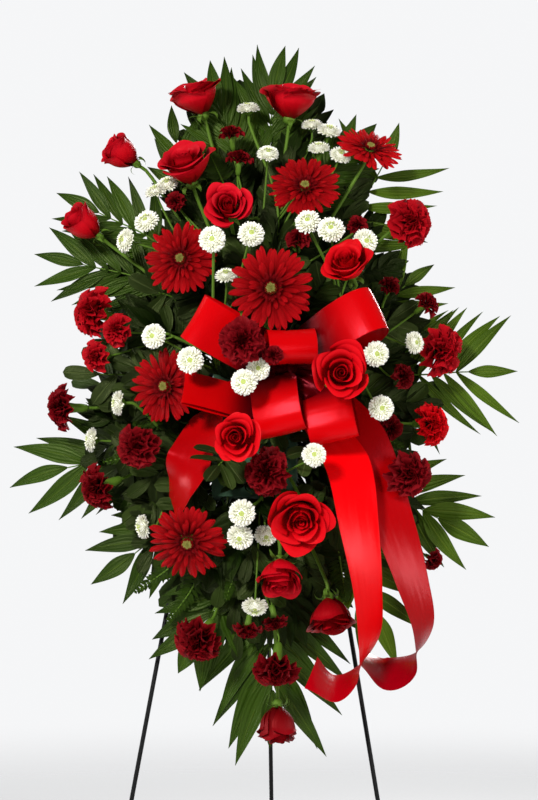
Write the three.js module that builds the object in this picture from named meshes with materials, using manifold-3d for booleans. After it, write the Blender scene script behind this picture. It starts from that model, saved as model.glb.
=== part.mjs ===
// A standing funeral spray: red roses, gerberas and carnations with white button poms, palm fronds and a
// satin ribbon bow, pushed into a block of wet foam that hangs on a folding wire easel.
// Units are millimetres. +Z is up, the spray faces -Y, and the feet stand on Z = 0.
import * as THREE from "three";
import { mergeVertices } from "three/addons/utils/BufferGeometryUtils.js";
import Module from "manifold-3d";

const wasm = await Module();
wasm.setup();
const { Manifold, Mesh: SolidMesh } = wasm;

// Easel: 1/4 inch wire, 54 inches to the hinge bar
const wireRadius = 3.2;
const wireSides = 8;
const hingeHeight = 1372;
const frontFootForward = 235;
const rearFootBack = 330;
const footHalfSpread = 259;
const hingeHalfWidth = 22;
const hingeAxis = hingeHeight + wireRadius + 1.1;
const upperRailHeight = 1236;
const lowerRailHeight = 905;
const runningGap = 0.35;
const eyeWall = 6;
const eyeHalfWidth = 5;
const eyeSides = 14;
const barSides = 16;
// Half a leg's width along a rail: the leg crosses it at a slant
const legHalfWidth = 1.08 * wireRadius;
// The wires run on below the floor and are cut off level with it.
const pastFloor = 20;

// Foam block in its tray, hung flat on the front of the easel
const foamSize = { across: 120, deep: 86, high: 330 };
const foamMiddleHeight = 1060;
const trayWall = 2.5;
const trayRim = 16;
const hookSpread = 28;
const hookWidth = 14;
const hookLip = 4;
const touchGap = 0.3;

// Stems: radii, the straight run in the foam and just outside it, and the straight run behind a bloom
const stemRadius = { bloom: 2.7, carnation: 2.4, spray: 2.4, frond: 3, bow: 2.2 };
const thickStem = 2.5;
const branchShare = 0.65;
const branchSpacing = 7;
const stemInFoam = 34;
const holePastStem = 1;
const holeGap = 0.8;
const straightOutside = 14;
const straightBehindBloom = 18;
const straightBehindSmallBloom = 14;
const neckShare = { rose: 0.42, gerbera: 0.14, carnation: 0.6, pom: 0.3 };
const stemIntoNeck = 0.9;
// A stem is aimed this share of the way off the foam's middle, within these limits, and fronds aim farther back.
const aimShare = { across: 0.1, up: 0.3 };
const aimLimit = { across: 25, up: 120 };
const frondAimBack = 22;
// A splinter of a union up to this volume is dropped.
const largestScrap = 5;

// The picture's scale at the spray, and the place that it is seen from
const mmPerPixel = 1.45;
const easelColumn = 257;
const middleRow = 400;
const middleHeight = 1050;
const viewpoint = new THREE.Vector3(250, -3700, middleHeight);
const picturePlane = -100;

// Ribbon: number 40, 68 mm wide, gathered to a fifth of that at the knot
const ribbonWidth = 68;
const ribbonThickness = 0.9;
const gatheredShare = 0.22;
const gatheredReach = 0.3;
const loopSteps = 10;
const loopStart = 4;
const bulgeAtKnot = 0.25;
const knotRadius = 20;
const knotGap = 0.5;

const colour = {
  rose: 0xc00a12,
  gerbera: 0xa80610,
  carnation: 0x6e0512,
  carnationRed: 0xb00a18,
  pom: 0xeef0d8,
  palm: 0x2f5a1c,
  leaf: 0x3c5230,
  foam: 0x2c5a34,
  tray: 0x1d3b22,
  ribbon: 0xd80c14,
  wire: 0x111111,
};

const group = new THREE.Group();

function vec(x, y, z) {
  return new THREE.Vector3(x, y, z);
}

// A point that shows at a column and row of the picture and stands so far forward of the hinge's plane.
function seen(column, row, forward) {
  const onPlane = vec(
    (column - easelColumn) * mmPerPixel,
    picturePlane,
    middleHeight + (middleRow - row) * mmPerPixel,
  );
  const share = (-forward - viewpoint.y) / (picturePlane - viewpoint.y);
  return viewpoint.clone().lerp(onPlane, share);
}

// A direction given as [right, forward, up]
function toward([right, forward, up]) {
  return vec(right, -forward, up).normalize();
}

function closedGeometry(points, faces) {
  const geometry = new THREE.BufferGeometry();
  geometry.setAttribute(
    "position",
    new THREE.Float32BufferAttribute(points.flatMap((p) => [p.x, p.y, p.z]), 3),
  );
  geometry.setIndex(faces.flat());
  return geometry;
}

function solidOf(geometry) {
  const bare = geometry.clone();
  bare.deleteAttribute("normal");
  bare.deleteAttribute("uv");
  const merged = mergeVertices(bare, 1e-4);
  return new Manifold(
    new SolidMesh({
      numProp: 3,
      vertProperties: merged.attributes.position.array,
      triVerts: new Uint32Array(merged.index.array),
    }),
  );
}

function geometryOf(solid) {
  const mesh = solid.getMesh();
  const geometry = new THREE.BufferGeometry();
  geometry.setAttribute(
    "position",
    new THREE.BufferAttribute(new Float32Array(mesh.vertProperties), 3),
  );
  geometry.setIndex(new THREE.BufferAttribute(new Uint32Array(mesh.triVerts), 1));
  geometry.computeVertexNormals();
  return geometry;
}

// The largest body of a union: a petal's stray splinter is dropped.
function join(geometries) {
  const bodies = Manifold.union(geometries.map(solidOf)).decompose();
  const [largest, ...rest] = bodies.sort((a, b) => b.volume() - a.volume());
  if (rest.some((body) => body.volume() > largestScrap)) throw new Error("a piece came loose");
  return largest;
}

function addPart(name, shape, hex, roughness = 0.7, metalness = 0) {
  const geometry = shape.isBufferGeometry ? shape : geometryOf(shape);
  const material = new THREE.MeshStandardMaterial({ color: hex, roughness, metalness });
  const mesh = new THREE.Mesh(geometry, material);
  mesh.name = name;
  group.add(mesh);
  return mesh;
}

// A route with straight runs between its points, which an extrusion steps along from point to point
class Route extends THREE.Curve {
  constructor(points) {
    super();
    this.points = points;
  }

  getPointAt(share) {
    const place = share * (this.points.length - 1);
    const i = Math.min(Math.floor(place), this.points.length - 2);
    return this.points[i].clone().lerp(this.points[i + 1], place - i);
  }

  getTangentAt(share) {
    const i = Math.round(share * (this.points.length - 1));
    const before = this.points[Math.max(i - 1, 0)];
    const after = this.points[Math.min(i + 1, this.points.length - 1)];
    return after.clone().sub(before).normalize();
  }
}

function polygon(radius, sides) {
  const corners = Array.from({ length: sides }, (_, k) => {
    const angle = (2 * Math.PI * k) / sides;
    return new THREE.Vector2(radius * Math.cos(angle), radius * Math.sin(angle));
  });
  return new THREE.Shape(corners);
}

function rod(points, radius, sides) {
  return new THREE.ExtrudeGeometry(polygon(radius, sides), {
    extrudePath: new Route(points),
    steps: points.length - 1,
    bevelEnabled: false,
  });
}

// A bloom in one closed skin, from [radius, height] pairs in shares of its width. The base's rings lead up
// from the stem, each layer is a ring of petals, and the crown's rings close the middle. A layer's petals
// part at its valley, are broadest at its shoulder and thickest at its ridge, and stand half a petal round
// from the layer below.
function layeredHead({ across, count, base, layers, crown, wide = 0.32, wave = 0 }) {
  const step = (2 * Math.PI) / count;
  const points = [];
  const faces = [];
  const spot = ([radius, height], angle) => {
    points.push(vec(radius * Math.cos(angle), radius * Math.sin(angle), height).multiplyScalar(across));
    return points.length - 1;
  };
  const circle = (pair, turn) => Array.from({ length: count }, (_, k) => spot(pair, turn + (k - 0.5) * step));
  const band = (low, high, skewed) => {
    for (let k = 0; k < count; k++) {
      const next = (k + 1) % count;
      if (skewed) faces.push([low[k], low[next], high[k]], [low[next], high[next], high[k]]);
      else faces.push([low[k], low[next], high[next]], [low[k], high[next], high[k]]);
    }
  };
  let turn = 0;
  const foot = spot(base[0], 0);
  let ring = circle(base[1], turn);
  ring.forEach((spotIndex, k) => faces.push([foot, ring[(k + 1) % count], spotIndex]));
  for (const pair of base.slice(2)) {
    const next = circle(pair, turn);
    band(ring, next);
    ring = next;
  }
  for (const [n, { under, valley, shoulder, ridge, over }] of layers.entries()) {
    if (n) turn += step / 2;
    const below = circle(under, turn);
    band(ring, below, n > 0);
    const parting = circle(valley, turn);
    const above = circle(over, turn);
    for (let k = 0; k < count; k++) {
      const next = (k + 1) % count;
      const tilt = wave * (k % 2 ? 1 : -1);
      const left = spot([shoulder[0], shoulder[1] + tilt], turn + (k - wide) * step);
      const right = spot([shoulder[0], shoulder[1] - tilt], turn + (k + wide) * step);
      faces.push([below[k], left, parting[k]], [below[k], right, left]);
      faces.push([below[k], below[next], right], [below[next], parting[next], right]);
      const rim = [above[k], parting[k], left, right, parting[next], above[next]];
      if (ridge) {
        const top = spot(ridge, turn + k * step);
        rim.forEach((corner, i) => faces.push([corner, rim[(i + 1) % rim.length], top]));
      } else {
        faces.push([above[k], parting[k], left], [above[next], right, parting[next]]);
        faces.push([above[k], left, right], [above[k], right, above[next]]);
      }
    }
    ring = above;
  }
  for (const pair of crown.slice(0, -1)) {
    const next = circle(pair, turn);
    band(ring, next);
    ring = next;
  }
  const tip = spot(crown.at(-1), 0);
  ring.forEach((spotIndex, k) => faces.push([spotIndex, ring[(k + 1) % count], tip]));
  return closedGeometry(points, faces);
}

// A closed, turned shape whose facets are pushed in and out by turns, so that they stand up as small petals.
function ruffledDome(profile, around, relief) {
  const points = [vec(0, 0, profile[0][1])];
  const faces = [];
  const rings = profile.slice(1, -1);
  for (const [i, [radius, height]] of rings.entries())
    for (let k = 0; k < around; k++) {
      const angle = (2 * Math.PI * (k + (i % 2) / 2)) / around;
      const push = 1 + relief * ((k + i) % 2 ? 1 : -1);
      points.push(vec(radius * push * Math.cos(angle), radius * push * Math.sin(angle), height));
    }
  points.push(vec(0, 0, profile.at(-1)[1]));
  const top = points.length - 1;
  for (let k = 0; k < around; k++) {
    const next = (k + 1) % around;
    faces.push([0, 1 + next, 1 + k]);
    const lastRing = 1 + (rings.length - 1) * around;
    faces.push([top, lastRing + k, lastRing + next]);
    for (let i = 0; i < rings.length - 1; i++) {
      const low = 1 + i * around;
      const high = low + around;
      if (i % 2) faces.push([low + k, low + next, high + next], [low + k, high + next, high + k]);
      else faces.push([low + k, low + next, high + k], [low + next, high + next, high + k]);
    }
  }
  return closedGeometry(points, faces);
}

// The blooms open toward +Z with their middle at the origin, and their stems leave toward -Z.
function roseHead(across) {
  return layeredHead({
    across,
    count: 5,
    wide: 0.36,
    wave: 0.02,
    base: [[0, -0.42], [0.08, -0.38], [0.2, -0.3]],
    layers: [
      { under: [0.24, -0.26], valley: [0.42, 0], shoulder: [0.5, 0.08], ridge: [0.37, 0.03], over: [0.31, -0.1] },
      { under: [0.24, -0.05], valley: [0.33, 0.1], shoulder: [0.38, 0.2], ridge: [0.29, 0.16], over: [0.21, 0.04] },
      { under: [0.15, 0.08], valley: [0.18, 0.2], shoulder: [0.22, 0.29], ridge: [0.16, 0.23], over: [0.1, 0.15] },
    ],
    crown: [[0, 0.27]],
  });
}

function gerberaHead(across) {
  return layeredHead({
    across,
    count: 11,
    wide: 0.34,
    wave: 0.004,
    base: [[0, -0.14], [0.05, -0.11]],
    layers: [
      { under: [0.11, -0.06], valley: [0.3, -0.04], shoulder: [0.5, -0.04], ridge: [0.38, 0], over: [0.2, -0.01] },
      { under: [0.19, 0], valley: [0.23, 0.01], shoulder: [0.38, 0.03], over: [0.14, 0.05] },
    ],
    crown: [[0.12, 0.065], [0, 0.06]],
  });
}

function carnationHead(across) {
  return layeredHead({
    across,
    count: 6,
    wide: 0.3,
    wave: 0.045,
    base: [[0, -0.6], [0.09, -0.5]],
    layers: [
      { under: [0.13, -0.18], valley: [0.42, -0.06], shoulder: [0.55, -0.04], ridge: [0.4, 0.03], over: [0.3, 0.01] },
      { under: [0.29, 0.04], valley: [0.32, 0.13], shoulder: [0.44, 0.17], ridge: [0.28, 0.2], over: [0.18, 0.16] },
    ],
    crown: [[0.13, 0.27], [0, 0.2]],
  });
}

function smallCarnationHead(across) {
  return layeredHead({
    across,
    count: 5,
    wide: 0.28,
    wave: 0.07,
    base: [[0, -0.62], [0.1, -0.55]],
    layers: [
      { under: [0.16, -0.18], valley: [0.36, 0], shoulder: [0.52, 0.04], ridge: [0.36, 0.1], over: [0.24, 0.08] },
    ],
    crown: [[0.2, 0.24], [0, 0.17]],
  });
}

function pomHead(across) {
  const d = across;
  const outline = [[0, -0.3 * d], [0.38 * d, -0.16 * d], [0.47 * d, 0.06 * d], [0.27 * d, 0.26 * d], [0, 0.27 * d]];
  return ruffledDome(outline, 7, 0.08);
}

function placed(geometry, middle, facing) {
  const turn = new THREE.Quaternion().setFromUnitVectors(vec(0, 0, 1), facing);
  const matrix = new THREE.Matrix4().compose(middle, turn, vec(1, 1, 1));
  return geometry.applyMatrix4(matrix);
}

// Foam block: its own frame leans back with the easel. Stems aim at the line down its middle.
const lean = Math.atan2(frontFootForward, hingeHeight);
function framePlane(height) {
  return -frontFootForward * (1 - height / hingeHeight);
}
const foamFrame = new THREE.Matrix4().compose(
  vec(0, framePlane(foamMiddleHeight), foamMiddleHeight),
  new THREE.Quaternion().setFromAxisAngle(vec(1, 0, 0), -lean),
  vec(1, 1, 1),
);
const foamBack = wireRadius + 2 * touchGap + trayWall;
const foamBox = new THREE.Box3(
  vec(-foamSize.across / 2, -foamBack - foamSize.deep, -foamSize.high / 2),
  vec(foamSize.across / 2, -foamBack, foamSize.high / 2),
);
const foamHoles = [];

// Where a stem from the given point goes into the foam: a point outside, its end and its hole's end. It is
// drawn to the line down the foam's middle.
function rootFrom(point, { back = 0, shift = [0, 0] } = {}) {
  const { clamp } = THREE.MathUtils;
  const local = point.clone().applyMatrix4(foamFrame.clone().invert());
  const aim = foamBox.getCenter(vec(0, 0, 0)).add(vec(shift[0], back, shift[1]));
  aim.x += clamp(local.x * aimShare.across, -aimLimit.across, aimLimit.across);
  aim.z += clamp(local.z * aimShare.up, -aimLimit.up, aimLimit.up);
  const away = local.clone().sub(aim).normalize();
  const entry = new THREE.Ray(local, away.clone().negate()).intersectBox(foamBox, vec(0, 0, 0));
  return [straightOutside, -stemInFoam, -stemInFoam - holePastStem].map((distance) =>
    entry.clone().addScaledVector(away, distance).applyMatrix4(foamFrame),
  );
}

// A stem along the given points and on into the foam. Its hole is the same route, wider and deeper.
function stemInto(points, radius, root) {
  const [outside, end, holeEnd] = rootFrom(points.at(-1), root);
  const sides = radius < thickStem ? 3 : 4;
  foamHoles.push(rod([...points, outside, holeEnd], radius + holeGap, sides));
  return rod([...points, outside, end], radius, sides);
}

// Branches leave a stem one after the other below its fork.
function branchPoint(fork, root, number) {
  const down = rootFrom(fork, root)[0].sub(fork).normalize();
  return fork.clone().addScaledVector(down, number * branchSpacing);
}

// A bloom's stem leaves it straight, or goes by way of the given places, then bends toward its hole.
function addBloom(name, headOf, { at, faces, across, via = [], ...root }, ownNeckShare, radius, hex) {
  const middle = seen(...at);
  const facing = toward(faces);
  const neck = ownNeckShare * across;
  const top = middle.clone().addScaledVector(facing, -neck * stemIntoNeck);
  const bends = via.length
    ? via.map((place) => seen(...place))
    : [middle.clone().addScaledVector(facing, -neck - straightBehindBloom)];
  const stem = stemInto([top, ...bends], radius, root);
  addPart(name, join([placed(headOf(across), middle, facing), stem]), hex);
}

// at: [column, row, mm forward], faces: [right, forward, up], across in mm
const roses = {
  rose_top_left: { at: [197, 95, 62], faces: [-0.3, 0.25, 1], across: 88 },
  rose_top_right: { at: [291, 98, 72], faces: [0.1, 0.25, 1], across: 92 },
  rose_left_high: { at: [123, 154, 78], faces: [-1, 0.4, 0.7], across: 70 },
  rose_upper_left: { at: [185, 164, 130], faces: [-0.25, 0.65, 0.8], across: 92 },
  rose_upper_middle: { at: [228, 207, 190], faces: [0, 1, 0.35], across: 76 },
  rose_far_left: { at: [86, 226, 95], faces: [-0.8, 0.5, 0.65], across: 72 },
  rose_right_high: { at: [348, 266, 225], faces: [0.45, 1, 0.3], across: 78 },
  rose_bow_right: {
    at: [340, 371, 318],
    faces: [0.05, 1, 0.12],
    across: 92,
    via: [[342, 369, 258], [345, 362, 150]],
  },
  rose_bow_left: { at: [236, 437, 300], faces: [-0.05, 1, 0], across: 72 },
  rose_low_middle: { at: [301, 519, 270], faces: [0.05, 1, -0.08], across: 104 },
  rose_nodding_middle: { at: [279, 577, 245], faces: [0, 0.6, -0.9], across: 74 },
  rose_nodding_right: { at: [331, 615, 215], faces: [0.14, 0.4, -1], across: 80 },
  rose_tip: { at: [278, 722, 184], faces: [0.03, 0.15, -1], across: 68, shift: [14, 0] },
};

const gerberas = {
  gerbera_left_high: { at: [180, 258, 186], faces: [-0.2, 1, 0.12], across: 110 },
  gerbera_middle: { at: [271, 288, 266], faces: [0, 1, 0.08], across: 122 },
  gerbera_upper_right: { at: [305, 186, 165], faces: [0.05, 0.85, 0.5], across: 108, shift: [-17, 0] },
  gerbera_top_right: { at: [370, 148, 92], faces: [0.3, 0.45, 0.9], across: 98 },
  gerbera_left: { at: [164, 386, 194], faces: [-0.45, 1, -0.02], across: 112 },
  gerbera_low_left: { at: [187, 543, 225], faces: [-0.05, 0.9, -0.45], across: 118 },
};

const carnations = {
  carnation_right_high: { at: [410, 223, 105], faces: [0.7, 0.75, 0.15], across: 70, red: true },
  carnation_right: { at: [441, 350, 115], faces: [0.85, 0.6, 0], across: 66 },
  carnation_bow_left: {
    at: [243, 341, 300],
    faces: [-0.05, 1, 0.1],
    across: 66,
    via: [[241, 309, 256], [240, 310, 180]],
  },
  carnation_left_low: { at: [137, 447, 195], faces: [-0.45, 1, -0.1], across: 66, red: true },
  carnation_lower_left: { at: [96, 488, 145], faces: [-0.85, 0.6, -0.3], across: 62, shift: [0, 12] },
  carnation_far_left: { at: [60, 408, 118], faces: [-1, 0.4, 0], across: 64 },
  carnation_middle: { at: [267, 472, 262], faces: [-0.08, 1, 0.02], across: 68 },
  carnation_bottom_left: { at: [198, 642, 196], faces: [-0.35, 0.75, -0.6], across: 70 },
  carnation_far_right: { at: [432, 424, 130], faces: [0.75, 0.65, 0], across: 54, red: true, shift: [0, -12] },
};

// Sprays of small carnations and of button poms: several heads branch from one stem. The stem forks at fork.
const smallCarnations = {
  carnations_left: {
    red: true,
    fork: [165, 332, 130],
    heads: [
      { at: [92, 312, 125], faces: [-0.85, 0.55, 0.2], across: 66, full: true },
      { at: [117, 328, 165], faces: [-0.4, 1, 0.1], across: 44 },
      { at: [95, 357, 150], faces: [-0.6, 0.9, -0.1], across: 44 },
    ],
  },
  small_carnations_top: {
    fork: [246, 205, 100],
    heads: [
      { at: [298, 238, 150], faces: [0, 0.8, 0.6], across: 38 },
      { at: [231, 133, 85], faces: [-0.1, 0.3, 1], across: 42 },
      { at: [239, 158, 118], faces: [0.1, 0.3, 1], across: 42 },
    ],
  },
  small_carnations_right: {
    fork: [372, 346, 122],
    shift: [0, -8],
    heads: [
      { at: [390, 286, 125], faces: [0.3, 0.6, 0.7], across: 34 },
      { at: [427, 304, 112], faces: [0.7, 0.5, 0.5], across: 42 },
      { at: [403, 376, 165], faces: [0.6, 0.8, 0], across: 40 },
      { at: [390, 428, 150], faces: [0.4, 1, 0], across: 44 },
    ],
  },
  carnations_right_low: {
    fork: [366, 478, 112],
    heads: [
      { at: [413, 474, 150], faces: [0.55, 0.85, -0.05], across: 70, full: true },
      { at: [434, 560, 122], faces: [0.7, 0.7, -0.4], across: 34 },
    ],
  },
  carnations_bottom: {
    fork: [246, 552, 150],
    heads: [
      { at: [247, 630, 200], faces: [-0.15, 0.4, -1], across: 44 },
      { at: [275, 622, 198], faces: [0.2, 0.3, -1], across: 42 },
      { at: [276, 670, 226], faces: [-0.05, 0.4, -1], across: 66, full: true },
    ],
  },
};

const pomSprays = {
  poms_left_high: {
    fork: [185, 255, 110],
    heads: [
      { at: [146, 221, 150], faces: [-0.3, 0.7, 0.6], across: 37 },
      { at: [125, 240, 120], faces: [-0.8, 0.6, 0.2], across: 36 },
      { at: [155, 191, 105], faces: [-0.3, 0.4, 0.9], across: 32 },
    ],
  },
  poms_top: {
    fork: [282, 205, 90],
    heads: [
      { at: [248, 109, 60], faces: [-0.05, 0.25, 1], across: 34 },
      { at: [312, 126, 62], faces: [0, 0.3, 1], across: 32 },
      { at: [329, 132, 88], faces: [0.2, 0.4, 0.9], across: 34 },
      { at: [319, 149, 112], faces: [0, 0.4, 1], across: 32 },
    ],
  },
  poms_middle: {
    fork: [212, 368, 184],
    heads: [
      { at: [212, 239, 238], faces: [0, 1, 0.1], across: 38 },
      { at: [251, 234, 222], faces: [0.2, 0.9, 0.4], across: 38 },
      { at: [226, 276, 232], faces: [0, 0.5, 0.9], across: 32 },
      { at: [153, 336, 215], faces: [-0.3, 1, 0.1], across: 36 },
      { at: [190, 360, 282], faces: [0, 1, 0], across: 38 },
    ],
  },
  poms_right: {
    fork: [345, 300, 150],
    heads: [
      { at: [308, 222, 205], faces: [-0.1, 0.8, 0.5], across: 37 },
      { at: [331, 230, 215], faces: [0, 0.8, 0.5], across: 40 },
      { at: [365, 242, 190], faces: [0.4, 0.9, 0.2], across: 37 },
      { at: [376, 354, 262], faces: [0.3, 1, 0], across: 36 },
      { at: [414, 343, 175], faces: [0.7, 0.7, 0.1], across: 32 },
      { at: [381, 408, 235], faces: [0.3, 1, 0], across: 36 },
    ],
  },
  poms_left: {
    fork: [170, 440, 120],
    shift: [0, -14],
    heads: [
      { at: [118, 403, 165], faces: [-1, 0.3, 0], across: 36 },
      { at: [91, 440, 130], faces: [-1, 0.3, 0.1], across: 36 },
      { at: [143, 527, 165], faces: [-0.9, 0.4, -0.1], across: 36 },
    ],
  },
  poms_low_middle: {
    fork: [262, 500, 190],
    heads: [
      { at: [242, 513, 262], faces: [-0.05, 1, -0.1], across: 38 },
      { at: [240, 537, 240], faces: [-0.1, 0.9, -0.4], across: 38 },
      { at: [266, 535, 215], faces: [0.1, 0.8, -0.5], across: 34 },
      { at: [255, 606, 232], faces: [0, 0.6, -0.8], across: 37 },
      { at: [314, 455, 285], faces: [0.1, 0.9, 0.2], across: 34 },
    ],
  },
};

// The first head is the stem's own, and the others stand on branches.
function addSpray(name, { fork, heads, ...root }, headOf, ownNeckShare, hex) {
  const forkPoint = seen(...fork);
  const radius = stemRadius.spray;
  const shapes = [];
  for (const [i, { at, faces, across, full }] of heads.entries()) {
    const middle = seen(...at);
    const facing = toward(faces);
    const neck = ownNeckShare * across;
    const top = middle.clone().addScaledVector(facing, -neck * stemIntoNeck);
    const bend = middle.clone().addScaledVector(facing, -neck - straightBehindSmallBloom);
    if (i) shapes.push(rod([top, bend, branchPoint(forkPoint, root, i)], branchShare * radius, 3));
    else shapes.push(stemInto([top, bend, forkPoint], radius, root));
    shapes.push(placed(full ? carnationHead(across) : headOf(across), middle, facing));
  }
  addPart(name, join(shapes), hex);
}

// A leafy stem's stalk, and the way that the leaves' upper sides face as [right, forward, up]
const stalk = { half: 2.2, taper: 0.6, depthShare: 0.7 };
const leafFaces = [0, 1, 0.1];

// A leafy stem in one closed skin. Leaves leave a four-sided stalk by turns, left and right, and one ends it.
// leaf: half its width, the share of its length where it is widest, its blunt end's share of the width, the
// height of its arch, its angles to the stalk at the first and last leaf, the last leaf's taper, the droop
// toward its back as a share of its length, and the slope across it that lets leaves lie over each other.
function leafyStem({ path, leaves, leafFrom, leaf }) {
  const curve = new THREE.CatmullRomCurve3(path);
  const up = toward(leafFaces);
  const points = [];
  const faces = [];
  const stations = leaves + 1;
  const shares = [0, ...Array.from({ length: stations }, (_, i) => leafFrom + ((1 - leafFrom) * i) / leaves)];
  const frames = shares.map((share) => {
    const along = curve.getTangent(share);
    const side = along.clone().cross(up).normalize();
    return { point: curve.getPoint(share), along, side, normal: side.clone().cross(along).normalize() };
  });
  for (const [i, { point, side, normal }] of frames.entries()) {
    const half = stalk.half * (1 - (stalk.taper * i) / frames.length);
    for (const [a, b] of [[-1, 1], [1, 1], [1, -1], [-1, -1]])
      points.push(
        point
          .clone()
          .addScaledVector(side, a * half)
          .addScaledVector(normal, b * half * stalk.depthShare),
      );
  }
  // One leaf whose foot is the open edge between the corners a and b above and c and d below
  const addLeaf = (a, b, c, d, foot, out, across, normal, length, half, roll = 0) => {
    const spot = (s, w, lift = 0) =>
      foot
        .clone()
        .addScaledVector(out, length * s)
        .addScaledVector(across, half * w)
        .addScaledVector(normal, lift + roll * half * w - leaf.droop * length * s * s);
    const ridge = points.length;
    points.push(spot(leaf.widest, 0, leaf.arch), spot(leaf.widest, -1));
    if (leaf.blunt) points.push(spot(1, -leaf.blunt), spot(1, leaf.blunt));
    else points.push(spot(1, 0));
    points.push(spot(leaf.widest, 1));
    const rim = Array.from({ length: points.length - ridge - 1 }, (_, k) => ridge + 1 + k);
    const above = [a, ...rim, b];
    above.slice(1).forEach((corner, k) => faces.push([corner, above[k], ridge]));
    const below = [d, ...rim, c];
    for (let k = 1; k < below.length - 1; k++) faces.push([d, below[k], below[k + 1]]);
    faces.push([a, b, ridge], [d, a, rim[0]], [b, c, rim.at(-1)]);
  };
  for (let i = 0; i < frames.length - 1; i++) {
    const low = 4 * i;
    const high = low + 4;
    faces.push([low, low + 1, high + 1], [low, high + 1, high]);
    faces.push([low + 2, low + 3, high + 3], [low + 2, high + 3, high + 2]);
    const leafOn = i === 0 ? "none" : i % 2 ? "left" : "right";
    const share = (i - 1) / Math.max(frames.length - 2, 1);
    const angle = THREE.MathUtils.degToRad(leaf.angle[0] + (leaf.angle[1] - leaf.angle[0]) * share);
    const length = leaf.length * (1 - leaf.taper * share);
    const { along, side, normal } = frames[i];
    const sign = leafOn === "left" ? -1 : 1;
    const out = along.clone().multiplyScalar(Math.cos(angle)).addScaledVector(side, sign * Math.sin(angle));
    const across = out.clone().cross(normal).normalize();
    for (const which of ["left", "right"]) {
      const [a, b, c, d] =
        which === "left" ? [low, high, high + 3, low + 3] : [high + 1, low + 1, low + 2, high + 2];
      if (which !== leafOn) {
        faces.push([a, b, c], [a, c, d]);
        continue;
      }
      const foot = points[a].clone().add(points[c]).multiplyScalar(0.5);
      const turned = across.dot(points[b].clone().sub(points[a])) < 0 ? across.clone().negate() : across;
      addLeaf(a, b, c, d, foot, out, turned, normal, length, leaf.half, -sign * leaf.roll);
    }
  }
  faces.push([0, 2, 1], [0, 3, 2]);
  const end = 4 * (frames.length - 1);
  const last = frames.at(-1);
  const lastLength = leaf.length * (1 - leaf.taper);
  addLeaf(end, end + 1, end + 2, end + 3, last.point, last.along, last.side, last.normal, lastLength, leaf.half);
  return closedGeometry(points, faces);
}

const palmLeaf = { half: 13, widest: 0.45, blunt: 0, arch: 2, angle: [58, 30], taper: 0.15, droop: 0.1, roll: 0.25 };
const broadLeaf = { half: 11, widest: 0.6, blunt: 0.5, arch: 2, angle: [75, 40], taper: 0.1, droop: 0.12, roll: 0.3 };

// Fronds in one node share a foot in the foam. path: [column, row, mm forward] from the foot outward.
const palms = {
  palm_top: {
    foot: [262, 262, 50],
    fronds: [
      { path: [[266, 170, 34], [274, 96, 20]], leaves: 8, leafFrom: 0.45, length: 84 },
      { path: [[244, 185, 44], [226, 112, 26]], leaves: 6, leafFrom: 0.5, length: 74 },
      { path: [[304, 200, 62], [350, 152, 50]], leaves: 6, leafFrom: 0.5, length: 62 },
    ],
  },
  palm_left: {
    foot: [205, 320, 66],
    fronds: [
      { path: [[160, 246, 50], [98, 212, 38]], leaves: 7, leafFrom: 0.5, length: 78 },
      { path: [[150, 282, 60], [82, 264, 50]], leaves: 7, leafFrom: 0.5, length: 84 },
      { path: [[195, 220, 34], [176, 142, 22]], leaves: 6, leafFrom: 0.5, length: 62 },
    ],
  },
  palm_lower_left: {
    foot: [205, 460, 90],
    fronds: [
      { path: [[150, 452, 86], [66, 468, 80]], leaves: 8, leafFrom: 0.4, length: 104 },
      { path: [[182, 515, 102], [134, 554, 104]], leaves: 6, leafFrom: 0.5, length: 88 },
    ],
  },
  palm_bottom: {
    foot: [262, 530, 98],
    fronds: [
      { path: [[268, 610, 122], [272, 690, 132]], leaves: 9, leafFrom: 0.3, length: 128 },
      { path: [[225, 590, 128], [196, 640, 140]], leaves: 5, leafFrom: 0.4, length: 76 },
    ],
  },
  palm_right: {
    foot: [318, 330, 66],
    fronds: [
      { path: [[392, 372, 68], [468, 372, 62]], leaves: 9, leafFrom: 0.4, length: 108 },
      { path: [[345, 240, 44], [390, 184, 30]], leaves: 8, leafFrom: 0.4, length: 92 },
      { path: [[374, 312, 56], [405, 286, 48]], leaves: 4, leafFrom: 0.6, length: 80 },
    ],
  },
  palm_lower_right: {
    foot: [318, 470, 92],
    fronds: [
      { path: [[384, 490, 86], [438, 518, 94]], leaves: 7, leafFrom: 0.45, length: 92 },
      { path: [[348, 545, 130], [376, 612, 146]], leaves: 6, leafFrom: 0.45, length: 90 },
    ],
  },
};

const broadLeaves = {
  leaves_left: {
    foot: [192, 384, 98],
    fronds: [
      { path: [[150, 378, 86], [104, 378, 82]], leaves: 6, leafFrom: 0.62, length: 60 },
      { path: [[175, 300, 100], [158, 292, 112]], leaves: 4, leafFrom: 0.6, length: 56 },
    ],
  },
  leaves_front: {
    foot: [236, 448, 184],
    fronds: [{ path: [[227, 456, 222], [218, 466, 252]], leaves: 5, leafFrom: 0.45, length: 50 }],
  },
  leaves_right: {
    foot: [330, 352, 98],
    fronds: [
      { path: [[365, 335, 94], [389, 321, 88]], leaves: 6, leafFrom: 0.5, length: 56 },
      { path: [[322, 420, 160], [308, 456, 210]], leaves: 4, leafFrom: 0.65, length: 40 },
    ],
  },
};

function addFoliage(name, { foot, fronds }, leafKind, hex) {
  const footPoint = seen(...foot);
  const root = { back: frondAimBack };
  const shapes = fronds.map(({ path, leaves, leafFrom, length }, i) =>
    leafyStem({
      path: [branchPoint(footPoint, root, i), ...path.map((p) => seen(...p))],
      leaves,
      leafFrom,
      leaf: { ...leafKind, length },
    }),
  );
  addPart(name, join([stemInto([footPoint], stemRadius.frond, root), ...shapes]), hex);
}

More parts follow.
